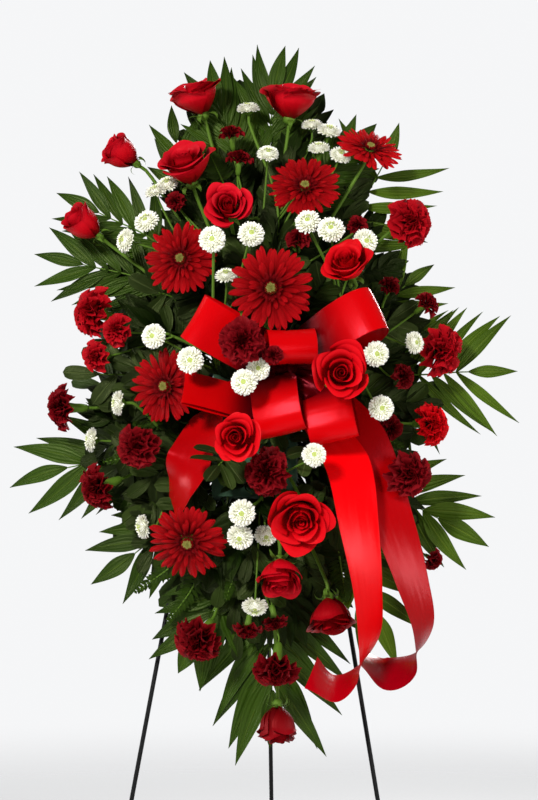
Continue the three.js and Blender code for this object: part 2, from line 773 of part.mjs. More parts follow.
// A ribbon as a closed band: each station has a middle, a direction across and the ribbon's half width there.
function ribbonBand(stations) {
  const points = [];
  const faces = [];
  for (const [i, { point, across, half }] of stations.entries()) {
    const before = stations[Math.max(i - 1, 0)].point;
    const after = stations[Math.min(i + 1, stations.length - 1)].point;
    const along = after.clone().sub(before).normalize();
    const side = across.clone().addScaledVector(along, -across.dot(along)).normalize();
    const normal = side.clone().cross(along).normalize();
    for (const [a, b] of [[-1, 1], [1, 1], [1, -1], [-1, -1]])
      points.push(
        point
          .clone()
          .addScaledVector(side, a * half)
          .addScaledVector(normal, (b * ribbonThickness) / 2),
      );
  }
  // Front and back are split along the same diagonal, so that a twist doesn't bring them through each other.
  for (let i = 0; i < stations.length - 1; i++)
    for (let k = 0; k < 4; k++) {
      const [a, b] = [4 * i + k, 4 * i + ((k + 1) % 4)];
      if (k === 2) faces.push([a, b, a + 4], [b, b + 4, a + 4]);
      else faces.push([a, b, b + 4], [a, b + 4, a + 4]);
    }
  const end = 4 * (stations.length - 1);
  faces.push([0, 2, 1], [0, 3, 2], [end, end + 1, end + 2], [end, end + 2, end + 3]);
  return closedGeometry(points, faces);
}

// Loops of the bow: the way out of the knot and the direction across as [right, forward, up], then the length
// and the bulge in mm
const knot = seen(285, 368, 212);
const bowLoops = [
  { out: [-0.87, 0.2, 0.5], across: [0.5, 0.1, 0.85], length: 146, bulge: 27 },
  { out: [0.14, 0.62, 0.32], across: [1, 0, 0.15], length: 72, bulge: 24 },
  { out: [0.85, 0.3, 0.53], across: [-0.42, -0.4, 0.9], length: 146, bulge: 30 },
  { out: [-0.95, 0.3, -0.26], across: [-0.15, -0.55, 0.8], length: 134, bulge: 22 },
  { out: [-0.02, 0.5, -0.86], across: [0.9, 0.1, 0.4], length: 92, bulge: 30 },
  { out: [0.62, 0.38, -0.72], across: [0.88, 0.1, 0.45], length: 116, bulge: 30 },
];

// A loop leaves the knot along its back and comes home along its front, gathered at the knot.
function bowLoop({ out, across, length, bulge }) {
  const away = toward(out);
  const side = toward(across);
  side.addScaledVector(away, -side.dot(away)).normalize();
  const lift = away.clone().cross(side).normalize();
  if (lift.y > 0) lift.negate();
  const stations = [];
  for (let i = 0; i <= loopSteps; i++) {
    const angle = (2 * Math.PI * i) / loopSteps;
    const reach = (1 - Math.cos(angle)) / 2;
    const rise = bulge * THREE.MathUtils.lerp(bulgeAtKnot, 1, reach);
    const point = knot
      .clone()
      .addScaledVector(away, loopStart + length * reach)
      .addScaledVector(lift, -Math.sin(angle) * rise);
    const share = THREE.MathUtils.lerp(gatheredShare, 1, THREE.MathUtils.smoothstep(reach, 0, gatheredReach));
    stations.push({ point, across: side, half: (ribbonWidth / 2) * share });
  }
  return ribbonBand(stations);
}

// Streamers: [column, row, mm forward], the direction across as [right, forward, up], and the width's share.
const streamers = {
  bow_streamer_front: [
    { at: [287, 377, 206], across: [1, 0, 0], share: 0.3 },
    { at: [318, 420, 182], across: [1, -0.2, 0.3], share: 0.7 },
    { at: [342, 462, 226], across: [0.9, -0.4, 0.2], share: 1 },
    { at: [354, 525, 252], across: [0.75, -0.6, 0.12], share: 1 },
    { at: [366, 590, 254], across: [0.55, -0.8, 0.1], share: 1 },
    { at: [369, 640, 250], across: [0.4, -0.8, 0.3], share: 1 },
    { at: [356, 676, 240], across: [0.05, -0.8, 0.6], share: 1 },
    { at: [334, 688, 236], across: [-0.1, -0.7, 0.7], share: 1 },
    { at: [312, 676, 244], across: [-0.3, -0.5, 0.7], share: 1 },
  ],
  bow_streamer_back: [
    { at: [294, 367, 200], across: [0.3, 0, 1], share: 0.3 },
    { at: [334, 402, 164], across: [0.5, -0.2, 0.8], share: 0.7 },
    { at: [374, 440, 186], across: [0.9, -0.3, 0.4], share: 1 },
    { at: [396, 515, 200], across: [0.8, -0.5, 0.25], share: 1 },
    { at: [412, 580, 202], across: [0.6, -0.7, 0.15], share: 1 },
    { at: [420, 628, 200], across: [0.4, -0.85, 0.2], share: 1 },
    { at: [408, 664, 196], across: [0.1, -0.9, 0.4], share: 1 },
    { at: [386, 672, 198], across: [-0.05, -0.9, 0.4], share: 1 },
    { at: [366, 660, 204], across: [-0.15, -0.9, 0.3], share: 1 },
  ],
  bow_tail_left: [
    { at: [278, 370, 203], across: [0.2, 0, 1], share: 0.3 },
    { at: [238, 395, 186], across: [0.6, 0.1, 0.9], share: 0.7 },
    { at: [206, 425, 190], across: [0.9, 0.3, 0.4], share: 1 },
    { at: [189, 458, 208], across: [1, 0.25, 0.2], share: 1 },
    { at: [179, 488, 204], across: [0.7, 0.9, 0.1], share: 1 },
    { at: [172, 508, 190], across: [0.4, 1, 0], share: 0.9 },
  ],
};

function streamerStations(marks, steps) {
  const line = new THREE.CatmullRomCurve3(marks.map(({ at }) => seen(...at)));
  const sides = new THREE.CatmullRomCurve3(marks.map(({ across }) => toward(across)));
  return Array.from({ length: steps + 1 }, (_, i) => {
    const t = i / steps;
    const place = t * (marks.length - 1);
    const k = Math.min(Math.floor(place), marks.length - 2);
    const share = THREE.MathUtils.lerp(marks[k].share, marks[k + 1].share, place - k);
    return { point: line.getPoint(t), across: sides.getPoint(t), half: (ribbonWidth / 2) * share };
  });
}

// Easel
function addEasel() {
  const legTop = (side) => vec(side * hingeHalfWidth, 0, hingeHeight);
  const legFoot = (side) => vec(side * footHalfSpread, -frontFootForward, 0);
  const legAt = (side, height) => legTop(side).lerp(legFoot(side), 1 - height / hingeHeight);
  const floorCut = solidOf(new THREE.BoxGeometry(2000, 2000, 200).translate(0, 0, -100));
  for (const [name, side] of [["easel_leg_left", -1], ["easel_leg_right", 1]]) {
    const past = legFoot(side).sub(legTop(side)).normalize().multiplyScalar(pastFloor);
    const wire = rod([legTop(side), legFoot(side).add(past)], wireRadius, wireSides);
    addPart(name, solidOf(wire).subtract(floorCut), colour.wire, 0.45, 0.3);
  }
  const barEnd = hingeHalfWidth + wireRadius;
  const bar = rod([vec(-barEnd, 0, hingeAxis), vec(barEnd, 0, hingeAxis)], wireRadius, barSides);
  addPart("easel_hinge_bar", bar, colour.wire, 0.45, 0.3);
  for (const [name, height] of [["easel_upper_rail", upperRailHeight], ["easel_lower_rail", lowerRailHeight]]) {
    const ends = [-1, 1].map((side) => legAt(side, height).add(vec(-side * (legHalfWidth + touchGap), 0, 0)));
    addPart(name, rod(ends, wireRadius, wireSides), colour.wire, 0.45, 0.3);
  }
  const eyeInside = wireRadius + runningGap;
  const eyeOutside = eyeInside + eyeWall;
  const section = [
    new THREE.Vector2(eyeInside, -eyeHalfWidth),
    new THREE.Vector2(eyeOutside, -eyeHalfWidth),
    new THREE.Vector2(eyeOutside, eyeHalfWidth),
    new THREE.Vector2(eyeInside, eyeHalfWidth),
    new THREE.Vector2(eyeInside, -eyeHalfWidth),
  ];
  const hinge = vec(0, 0, hingeAxis);
  const eye = new THREE.LatheGeometry(section, eyeSides).rotateZ(Math.PI / 2).translate(...hinge);
  const rearFoot = vec(0, rearFootBack, 0);
  const down = rearFoot.clone().sub(hinge).normalize();
  const start = hinge.clone().addScaledVector(down, eyeInside + eyeWall / 2);
  const leg = rod([start, rearFoot.clone().addScaledVector(down, pastFloor)], wireRadius, wireSides);
  addPart("easel_rear_leg", solidOf(leg).add(solidOf(eye)).subtract(floorCut), colour.wire, 0.45, 0.3);
}

// A box in the foam's own frame, given by its two far corners
function foamFrameBox(from, to) {
  const size = to.clone().sub(from);
  const middle = from.clone().add(to).multiplyScalar(0.5);
  return new THREE.BoxGeometry(...size).translate(...middle).applyMatrix4(foamFrame);
}

function addFoam() {
  let foam = solidOf(foamFrameBox(foamBox.min, foamBox.max));
  for (const hole of foamHoles) foam = foam.subtract(solidOf(hole));
  addPart("foam_block", foam, colour.foam, 0.9);
}

// A hook on the tray's back goes over the easel's upper rail.
function trayHook(side) {
  const railHeight = (upperRailHeight - foamMiddleHeight) / Math.cos(lean);
  const inside = wireRadius + runningGap;
  const outside = inside + trayWall;
  const arm = foamBox.max.z;
  const profile = new THREE.Shape([
    new THREE.Vector2(-foamBack + touchGap, arm),
    new THREE.Vector2(-inside, arm),
    new THREE.Vector2(-inside, railHeight + inside),
    new THREE.Vector2(inside, railHeight + inside),
    new THREE.Vector2(inside, railHeight - hookLip),
    new THREE.Vector2(outside, railHeight - hookLip),
    new THREE.Vector2(outside, railHeight + outside),
    new THREE.Vector2(-foamBack + touchGap, railHeight + outside),
  ]);
  const hook = new THREE.ExtrudeGeometry(profile, { depth: hookWidth, bevelEnabled: false });
  const upright = new THREE.Matrix4().makeBasis(vec(0, 1, 0), vec(0, 0, 1), vec(1, 0, 0));
  hook.applyMatrix4(upright).translate(side * hookSpread - hookWidth / 2, 0, 0);
  return hook.applyMatrix4(foamFrame);
}

function addTray() {
  const around = touchGap + trayWall;
  const shell = foamFrameBox(
    foamBox.min.clone().addScalar(-around).setY(-foamBack - trayRim),
    foamBox.max.clone().addScalar(around),
  );
  const pocket = foamFrameBox(
    foamBox.min.clone().addScalar(-touchGap),
    foamBox.max.clone().addScalar(touchGap),
  );
  let tray = solidOf(shell).subtract(solidOf(pocket));
  for (const hole of foamHoles) tray = tray.subtract(solidOf(hole));
  for (const side of [-1, 1]) tray = tray.add(solidOf(trayHook(side)));
  addPart("foam_tray", tray, colour.tray, 0.5);
}

addEasel();
for (const [name, bloom] of Object.entries(roses))
  addBloom(name, roseHead, bloom, neckShare.rose, stemRadius.bloom, colour.rose);
for (const [name, bloom] of Object.entries(gerberas))
  addBloom(name, gerberaHead, bloom, neckShare.gerbera, stemRadius.bloom, colour.gerbera);
for (const [name, { red, ...bloom }] of Object.entries(carnations)) {
  const hex = red ? colour.carnationRed : colour.carnation;
  addBloom(name, carnationHead, bloom, neckShare.carnation, stemRadius.carnation, hex);
}
for (const [name, { red, ...spray }] of Object.entries(smallCarnations)) {
  const hex = red ? colour.carnationRed : colour.carnation;
  addSpray(name, spray, smallCarnationHead, neckShare.carnation, hex);
}
for (const [name, spray] of Object.entries(pomSprays)) addSpray(name, spray, pomHead, neckShare.pom, colour.pom);
for (const [name, palm] of Object.entries(palms)) addFoliage(name, palm, palmLeaf, colour.palm);
for (const [name, leaves] of Object.entries(broadLeaves)) addFoliage(name, leaves, broadLeaf, colour.leaf);

const pickBend = vec(-6, 40, 0);
const knotBall = new THREE.IcosahedronGeometry(knotRadius).translate(...knot);
const bowPick = stemInto([knot, knot.clone().add(pickBend)], stemRadius.bow);
addPart("bow_loops", join([...bowLoops.map(bowLoop), knotBall, bowPick]), colour.ribbon, 0.3);
const knotRoom = solidOf(new THREE.IcosahedronGeometry(knotRadius + knotGap).translate(...knot));
for (const [name, marks] of Object.entries(streamers)) {
  const band = ribbonBand(streamerStations(marks, 2 * marks.length - 2));
  addPart(name, solidOf(band).subtract(knotRoom), colour.ribbon, 0.3);
}
addFoam();
addTray();

// The origin is under the middle of the whole object, on the floor.
const whole = new THREE.Box3().setFromObject(group, true);
const centre = whole.getCenter(vec(0, 0, 0));
group.position.set(-centre.x, -centre.y, -whole.min.z);

export default group;
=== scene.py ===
import math
import zlib

import bpy
import numpy as np
from mathutils import Matrix, Vector


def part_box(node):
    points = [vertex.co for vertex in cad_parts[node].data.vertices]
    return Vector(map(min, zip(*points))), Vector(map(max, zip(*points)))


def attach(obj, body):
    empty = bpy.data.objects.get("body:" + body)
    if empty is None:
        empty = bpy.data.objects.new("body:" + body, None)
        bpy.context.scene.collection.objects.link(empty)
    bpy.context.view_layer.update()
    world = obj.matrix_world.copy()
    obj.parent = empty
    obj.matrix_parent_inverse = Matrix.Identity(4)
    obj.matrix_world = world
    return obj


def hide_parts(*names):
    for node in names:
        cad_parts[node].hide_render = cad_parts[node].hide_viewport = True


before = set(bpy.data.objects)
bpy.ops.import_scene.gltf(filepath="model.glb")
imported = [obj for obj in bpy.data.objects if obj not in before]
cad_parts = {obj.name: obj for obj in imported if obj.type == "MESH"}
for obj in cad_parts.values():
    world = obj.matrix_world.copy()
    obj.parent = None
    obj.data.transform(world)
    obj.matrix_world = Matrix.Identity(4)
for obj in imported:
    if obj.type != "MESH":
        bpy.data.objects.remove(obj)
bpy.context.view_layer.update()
frontBody = "spray_and_front_frame"
rearBody = "rear_leg"
print("frame loaded")

# The CAD's own zero is over the hinge bar's middle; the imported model's is under its box.
barLow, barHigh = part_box("easel_hinge_bar")
offset = Vector(((barLow.x + barHigh.x) / 2, (barLow.y + barHigh.y) / 2, 0)) * 1000

# Where the photograph was taken from, in mm, with its scale in the plane of the flowers
picture = {
    "mmPerPixel": 1.45, "column": 257, "row": 400, "height": 1050, "eye": (250, -3700, 1050), "plane": -100,
    "aim": (269, 400, 100), "metresTall": 1.16, "sensor": 36,
}


def heightAt(row):
    return picture["height"] + (picture["row"] - row) * picture["mmPerPixel"]


def seen(column, row, forward):  # picture place and mm forward, to a point in mm
    across = (column - picture["column"]) * picture["mmPerPixel"]
    eye = Vector(picture["eye"])
    share = (-forward - eye.y) / (picture["plane"] - eye.y)
    return eye.lerp(Vector((across, picture["plane"], heightAt(row))), share)


def toward(way):  # right, forward, up
    return Vector((way[0], -way[1], way[2])).normalized()


def addObject(name, data):
    made = bpy.data.objects.new(name, data)
    bpy.context.scene.collection.objects.link(made)
    return made


camera = addObject("camera", bpy.data.cameras.new("camera"))
camera.location = (Vector(picture["eye"]) + offset) / 1000
lookAt = (seen(*picture["aim"]) + offset) / 1000
camera.rotation_euler = (lookAt - camera.location).to_track_quat("-Z", "Y").to_euler()
camera.data.sensor_fit = "VERTICAL"
camera.data.sensor_height = picture["sensor"]
camera.data.lens = picture["sensor"] * (lookAt - camera.location).length / picture["metresTall"]
bpy.context.scene.camera = camera
bpy.context.scene.view_settings.view_transform = "Standard"
print("camera placed")


class Value:
    # A socket in a material that takes part in sums as a number does
    def __init__(self, finish, socket):
        self.finish, self.socket = finish, socket

    def __add__(self, other): return self.finish.maths("ADD", self, other)
    def __sub__(self, other): return self.finish.maths("SUBTRACT", self, other)
    def __rsub__(self, other): return self.finish.maths("SUBTRACT", other, self)
    def __mul__(self, other): return self.finish.maths("MULTIPLY", self, other)
    def __pow__(self, other): return self.finish.maths("POWER", self, other)
    def __abs__(self): return self.finish.maths("ABSOLUTE", self)
    __radd__, __rmul__ = __add__, __mul__


class Finish:
    def __init__(self, name, **fixed):
        self.material = bpy.data.materials.new(name)
        self.material.use_nodes = True
        self.tree = self.material.node_tree
        self.shader = self.tree.nodes["Principled BSDF"]
        for socket, value in fixed.items():
            self.feed(self.shader.inputs[socket.replace("_", " ")], value)

    def node(self, kind, settings=None, inputs=None, output=0):
        made = self.tree.nodes.new(kind)
        for key, value in (settings or {}).items():
            if key == "stops":
                ramp = made.color_ramp
                while len(ramp.elements) < len(value):
                    ramp.elements.new(0.5)
                for stop, (place, colour) in zip(ramp.elements, value):
                    stop.position, stop.color = place, (*colour, 1)
            else:
                setattr(made, key, value)
        for key, value in (inputs or {}).items():
            self.feed(made.inputs[key], value)
        return Value(self, made.outputs[output])

    def feed(self, socket, value):
        if isinstance(value, Value):
            self.tree.links.new(value.socket, socket)
        elif socket.type == "RGBA" and len(value) == 3:
            socket.default_value = (*value, 1)
        else:
            socket.default_value = value

    def maths(self, operation, *values):
        return self.node("ShaderNodeMath", {"operation": operation}, dict(enumerate(values)))

    def mix(self, share, first, second):
        inputs = {0: share, 6: first, 7: second}
        return self.node("ShaderNodeMix", {"data_type": "RGBA"}, inputs, output=2)

    # On the ribbon the third mark holds painted shade from the knot, not chance
    def marks(self):  # across the petal, along it, and the petal's own chance
        vector = self.node("ShaderNodeAttribute", {"attribute_name": "petal"}, output="Vector")
        split = self.node("ShaderNodeSeparateXYZ", inputs={0: vector})
        return [Value(self, split.socket.node.outputs[i]) for i in range(3)]

    def noise(self, place, scale, detail):
        return self.node("ShaderNodeTexNoise", inputs={"Vector": place, "Scale": scale, "Detail": detail})

    def streaks(self, stretch, scale=1.0, detail=3.0):
        across, along, chance = self.marks()
        places = {0: across * stretch[0], 1: along * stretch[1], 2: chance * 37}
        return self.noise(self.node("ShaderNodeCombineXYZ", inputs=places), scale, detail)

    def grain(self, scale, detail=4.0):
        return self.noise(self.node("ShaderNodeTexCoord", output="Object"), scale, detail)

    def ease(self, value, low, high):
        span = {0: value, 1: low, 2: high}
        return self.node("ShaderNodeMapRange", {"interpolation_type": "SMOOTHSTEP"}, span)

    def ramp(self, share, stops):
        return self.node("ShaderNodeValToRGB", {"stops": stops}, {0: share})

    def colour(self, value):
        self.feed(self.shader.inputs["Base Color"], value)

    def rough(self, value):
        self.feed(self.shader.inputs["Roughness"], value)

    def relief(self, height, depth, strength=1.0):
        settings = {"Height": height, "Distance": depth, "Strength": strength}
        self.feed(self.shader.inputs["Normal"], self.node("ShaderNodeBump", inputs=settings))
        return self.material


def petalFinish(
    name, deep, body, rim, veins=(9, 1.2), uneven=0.35, rough=0.5, relief=0.0012, gloss=(1, 0.14, 0.14)
):
    finish = Finish(name, Specular_IOR_Level=0.25, Specular_Tint=gloss)
    _, along, chance = finish.marks()
    vein = finish.streaks(veins, 1.6)
    share = along + (vein - 0.5) * uneven + (chance - 0.5) * 0.16
    # Darker towards the petal's foot: partly the flower's own tone, partly painted shade deep in the bloom
    finish.colour(finish.ramp(share, [(0.05, deep), (0.42, body), (1.0, rim)]))
    finish.rough(rough + (vein - 0.5) * 0.2)
    return finish.relief(vein, relief)


# few: the higher, the rarer the light leaves
def leafFinish(name, dark, light, vein, pleats=0.0, rough=0.38, few=1, gloss=0.28):
    finish = Finish(name, Specular_IOR_Level=gloss, Specular_Tint=(0.85, 1, 0.4))
    across, _, chance = finish.marks()
    mottle = finish.grain(38, 5)
    fibres = finish.streaks((26, 0.6), 1.0, 2)
    body = finish.mix(mottle * (0.55 / few) + chance ** few * 0.6 - 0.05, dark, light)
    rib = 1 - finish.maths("SMOOTH_MIN", abs(across) * 9, 1.0, 0.3)
    lengthwise = finish.maths("SINE", across * pleats * math.pi * 2) * 0.5 + 0.5
    finish.colour(finish.mix(rib * 0.6 + fibres * 0.12, body, vein))
    finish.rough(rough + (mottle - 0.5) * 0.2)
    return finish.relief(lengthwise * 0.6 + fibres * 0.5 + rib, 0.0012, 0.8)


roseTouch = {"veins": (5, 0.8), "uneven": 0.2, "rough": 0.46, "relief": 0.0005}
roseRed = petalFinish(
    "rose_petal", (0.28, 0, 0.002), (0.52, 0.001, 0.004), (0.56, 0.003, 0.007), **roseTouch | {"uneven": 0.16}
)
roseCrimson = petalFinish(
    "rose_crimson", (0.14, 0, 0.002), (0.4, 0.001, 0.005), (0.52, 0.005, 0.014), **roseTouch
)
# Darker copies of the rose finish for the low roses that hang under the bow: painted shade
rosePaintedShade = petalFinish("rose_painted_shade", (0.1, 0, 0.002), (0.22, 0.001, 0.003), (0.32, 0.002, 0.006), **roseTouch)
rosePaintedDeepShade = petalFinish("rose_painted_deep_shade", (0.06, 0, 0.001), (0.12, 0.001, 0.002), (0.2, 0.002, 0.005), **roseTouch)
# The rolled heart a little darker than the outer petals: painted shade
roseHeartPaintedShade = petalFinish(
    "rose_heart_painted_shade", (0.22, 0, 0.001), (0.48, 0.001, 0.004), (0.54, 0.002, 0.006), **roseTouch | {"rough": 0.5}
)
rayTouch = {"veins": (14, 0.8), "uneven": 0.45, "relief": 0.0018}
gerberaRed = petalFinish(
    "gerbera_ray", (0.06, 0, 0.001), (0.22, 0.001, 0.002), (0.46, 0.003, 0.006), **rayTouch
)
gerberaBright = petalFinish(
    "gerbera_bright", (0.1, 0, 0.001), (0.42, 0.002, 0.004), (0.6, 0.004, 0.008), **rayTouch
)
gerberaFringe = petalFinish("gerbera_fringe", (0.03, 0, 0.001), (0.1, 0.001, 0.002), (0.2, 0.002, 0.004))
gerberaEye = petalFinish("gerbera_eye", (0.05, 0.05, 0.01), (0.2, 0.2, 0.04), (0.42, 0.4, 0.12), rough=0.7)
carnationBright = petalFinish("carnation_bright", (0.16, 0, 0.002), (0.48, 0.001, 0.004), (0.6, 0.003, 0.007))
carnationRed = petalFinish("carnation_red", (0.07, 0, 0.002), (0.25, 0.001, 0.004), (0.38, 0.004, 0.009))
carnationDark = petalFinish("carnation_dark", (0.012, 0, 0.001), (0.085, 0.001, 0.002), (0.17, 0.003, 0.006))
pomTouch = {"veins": (5, 0.6), "rough": 0.6, "relief": 0.0004, "gloss": (1, 1, 1)}
pomWhite = petalFinish("pom_white", (0.6, 0.62, 0.4), (0.96, 0.95, 0.81), (0.97, 0.96, 0.9), **pomTouch)
pomHeart = petalFinish("pom_heart", (0.26, 0.33, 0.06), (0.52, 0.6, 0.16), (0.8, 0.84, 0.42), **pomTouch)
palmGreen = leafFinish("palm_leaf", (0.01, 0.029, 0.001), (0.058, 0.112, 0.004), (0.13, 0.19, 0.02), 2.5)
palmDeep = leafFinish("palm_deep", (0.003, 0.013, 0.001), (0.022, 0.055, 0.002), (0.07, 0.115, 0.012), 2.5)
broadGreen = leafFinish(
    "broad_leaf", (0.003, 0.007, 0.0015), (0.021, 0.038, 0.005), (0.1, 0.13, 0.04), rough=0.34, gloss=0.24
)
# Painted shade: the filler leaves and stems deep in the spray are painted near black
insidePaintedShadeGreen = leafFinish(
    "inside_leaf_painted_shade", (0.0012, 0.003, 0.0005), (0.032, 0.056, 0.008), (0.035, 0.055, 0.012), few=3, gloss=0.18
)
paintedShadeGreen = leafFinish(
    "leaf_painted_shade", (0.001, 0.003, 0.0005), (0.008, 0.019, 0.0015), (0.012, 0.026, 0.003), few=2, gloss=0.16
)
backGreen = leafFinish("back_leaf", (0.002, 0.007, 0.001), (0.016, 0.038, 0.003), (0.03, 0.055, 0.008))
stemGreen = leafFinish("stem_green", (0.035, 0.08, 0.006), (0.1, 0.19, 0.018), (0.12, 0.22, 0.03), rough=0.5)


def ribbonFinish(name, colour, waves, depth):
    finish = Finish(name, Specular_IOR_Level=0.42, Specular_Tint=(1, 0.09, 0.13))
    across, along, paintedShadeFromKnot = finish.marks()
    threads = finish.maths("SINE", along * 9000) * 0.5 + 0.5
    slubs = finish.streaks((2, 60), 3.0, 3)
    edge = finish.maths("GREATER_THAN", abs(across), 0.965)
    place = finish.node("ShaderNodeCombineXYZ", inputs={0: across * waves[0], 1: along * waves[1]})
    creases = finish.noise(place, 1.0, 1.0)
    flat = finish.mix(edge * 0.5 + slubs * 0.2, colour, tuple(part * 0.64 for part in colour))
    # Painted shade: darker beyond 0.42 m along the ribbon, inside the streamers' curled cut ends
    flat = finish.mix(finish.ease(along, 0.42, 0.47) * 0.65, flat, (0.22, 0.0, 0.006))
    # Painted shade: the satin turns near black towards the knot, as its third mark falls
    finish.colour(finish.mix(finish.ease(paintedShadeFromKnot, 0.3, 0.68), (0.045, 0.0, 0.001), flat))
    finish.rough(0.2 + slubs * 0.1 + edge * 0.15)
    return finish.relief(threads * 0.4 + slubs * 0.6 + edge + creases * depth, 0.00012, 0.5)


def wireFinish():
    finish = Finish("wire_enamel", Specular_IOR_Level=0.12)
    wear = finish.grain(140)
    peel = finish.grain(900, 2)
    finish.colour(finish.mix(wear * 0.5, (0.002, 0.002, 0.002), (0.008, 0.008, 0.008)))
    finish.rough(0.3 + wear * 0.22)
    return finish.relief(peel * 0.7 + wear * 0.3, 0.0003, 0.5)


def foamFinish(name, dark, light, cell, rough):
    finish = Finish(name)
    pores = finish.grain(cell, 6)
    finish.colour(finish.mix(pores, dark, light))
    finish.rough(rough + pores * 0.1)
    return finish.relief(pores, 0.001, 0.7)


# One satin in three tones: the front streamer's copy is painted lighter (painted light), the back streamer's
# and the tail's copy painted darker (painted shade)
satin = ribbonFinish("ribbon_satin", (0.51, 0.0005, 0.0015), (0.4, 75), 9)
satinPaintedLight = ribbonFinish("ribbon_satin_painted_light", (0.76, 0.0005, 0.002), (3, 6), 8)
satinPaintedShade = ribbonFinish("ribbon_satin_painted_shade", (0.36, 0.0005, 0.0015), (2.5, 7), 10)
wireBlack = wireFinish()
foamWet = foamFinish("foam_wet", (0.008, 0.03, 0.012), (0.03, 0.09, 0.04), 700, 0.8)
trayPlastic = foamFinish("tray_plastic", (0.006, 0.02, 0.008), (0.014, 0.04, 0.018), 90, 0.4)
print("finishes made")


class Surface:
    # Grids of points gathered into one mesh. marks: across, along, chance; on the ribbon the third holds
    # painted shade from the knot
    def __init__(self):
        self.points, self.marks, self.faces, self.kinds, self.count = [], [], [], [], 0

    def grid(self, points, across, along, chance, kind=0, closed=False):
        shape = points.shape[:2]
        index = self.count + np.arange(math.prod(shape)).reshape(shape)
        self.count += index.size
        if closed:
            index = np.hstack([index, index[:, :1]])
        quads = np.stack([index[:-1, :-1], index[:-1, 1:], index[1:, 1:], index[1:, :-1]], -1).reshape(-1, 4)
        marks = np.stack([np.broadcast_to(m, shape) for m in (across, along, chance)], -1)
        self.points.append(points.reshape(-1, 3))
        self.marks.append(marks.reshape(-1, 3))
        self.faces.append(quads)
        self.kinds.append(np.full(len(quads), kind))

    def add(self, other, matrix, kinds=None):
        turn = np.array(matrix)
        points = np.concatenate(other.points) @ turn[:3, :3].T + turn[:3, 3]
        self.points.append(points)
        self.marks.append(np.concatenate(other.marks))
        self.faces.append(np.concatenate(other.faces) + self.count)
        own = np.concatenate(other.kinds)
        self.kinds.append(own if kinds is None else np.array(kinds)[own])
        self.count += len(points)

    # A node that the CAD has is replaced; a name that it lacks is only this script's
    def piece(self, name, finishes, slot, node=None, body=frontBody):
        mesh = bpy.data.meshes.new(name)
        points = (np.concatenate(self.points) + np.array(offset)) / 1000
        mesh.from_pydata(points, [], np.concatenate(self.faces))
        mesh.polygons.foreach_set("material_index", np.concatenate(self.kinds).astype(np.int32))
        mesh.polygons.foreach_set("use_smooth", np.ones(len(mesh.polygons), bool))
        marks = mesh.attributes.new("petal", "FLOAT_VECTOR", "POINT")
        marks.data.foreach_set("vector", np.concatenate(self.marks).astype(np.float32).ravel())
        for finish in finishes:
            mesh.materials.append(finish)
        mesh.update()
        made = addObject(name, mesh)
        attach(made, body)
        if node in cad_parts:
            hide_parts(node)
        return made


def chanceFor(name):
    return np.random.default_rng(zlib.crc32(name.encode()))


def rows(count, low=0.0, high=1.0):
    return np.linspace(low, high, count)[:, None]


def columns(count, low=-1.0, high=1.0):
    return np.linspace(low, high, count)[None, :]


def around(sides):
    return np.linspace(0, 2 * math.pi, sides, endpoint=False)


def turned(radius, angle, height):
    radius, angle, height = np.broadcast_arrays(radius, angle, height)
    return np.stack([radius * np.cos(angle), radius * np.sin(angle), height], -1)


def smooth(x, low, high):
    x = np.clip((x - low) / (high - low), 0, 1)
    return x * x * (3 - 2 * x)


def bezier(s, first, second, third):
    return (1 - s) ** 2 * first + 2 * s * (1 - s) * second + s * s * third


def tube(surface, route, radii, kind=0, sides=8, mark=0.5):
    route = [Vector(p) for p in route]
    radii = np.broadcast_to(radii, len(route))
    angles = around(sides)[:, None]
    side = None
    rings = []
    for i, point in enumerate(route):
        along = (route[min(i + 1, len(route) - 1)] - route[max(i - 1, 0)]).normalized()
        if side is None:
            side = along.orthogonal().normalized()
        side = (side - along * side.dot(along)).normalized()
        other = along.cross(side)
        ring = np.cos(angles) * np.array(side) + np.sin(angles) * np.array(other)
        rings.append(np.array(point) + ring * radii[i])
    rings = [np.tile(np.array(route[0]), (sides, 1))] + rings + [np.tile(np.array(route[-1]), (sides, 1))]
    surface.grid(np.array(rings), 0.5, mark, 0.5, kind, closed=True)


def lathe(surface, outline, kind=0, sides=20, chance=0.5, mark=0.5):
    outline = np.array(outline, float)
    points = turned(outline[:, :1], around(sides)[None, :], outline[:, 1:])
    surface.grid(points, 0.5, mark, chance, kind, closed=True)


def rounded(points):  # cuts a route's corners twice, and keeps its ends
    points = [Vector(p) for p in points]
    for _ in range(2):
        cut = [points[0]]
        for a, b in zip(points, points[1:]):
            cut += [a.lerp(b, 0.25), a.lerp(b, 0.75)]
        points = cut + [points[-1]]
    return points


def throughPoints(marks, share):  # centripetal curve through the marks
    place = share * (len(marks) - 1)
    i = min(int(place), len(marks) - 2)
    w = place - i
    p1, p2 = marks[i], marks[i + 1]
    p0 = marks[i - 1] if i > 0 else p1 * 2 - p2
    p3 = marks[i + 2] if i + 2 < len(marks) else p2 * 2 - p1
    d = [max((b - a).length, 1e-6) ** 0.5 for a, b in ((p0, p1), (p1, p2), (p2, p3))]
    t1 = ((p1 - p0) / d[0] - (p2 - p0) / (d[0] + d[1]) + (p2 - p1) / d[1]) * d[1]
    t2 = ((p2 - p1) / d[1] - (p3 - p1) / (d[1] + d[2]) + (p3 - p2) / d[2]) * d[1]
    w2, w3 = w * w, w * w * w
    return p1 * (2 * w3 - 3 * w2 + 1) + t1 * (w3 - 2 * w2 + w) + p2 * (3 * w2 - 2 * w3) + t2 * (w3 - w2)


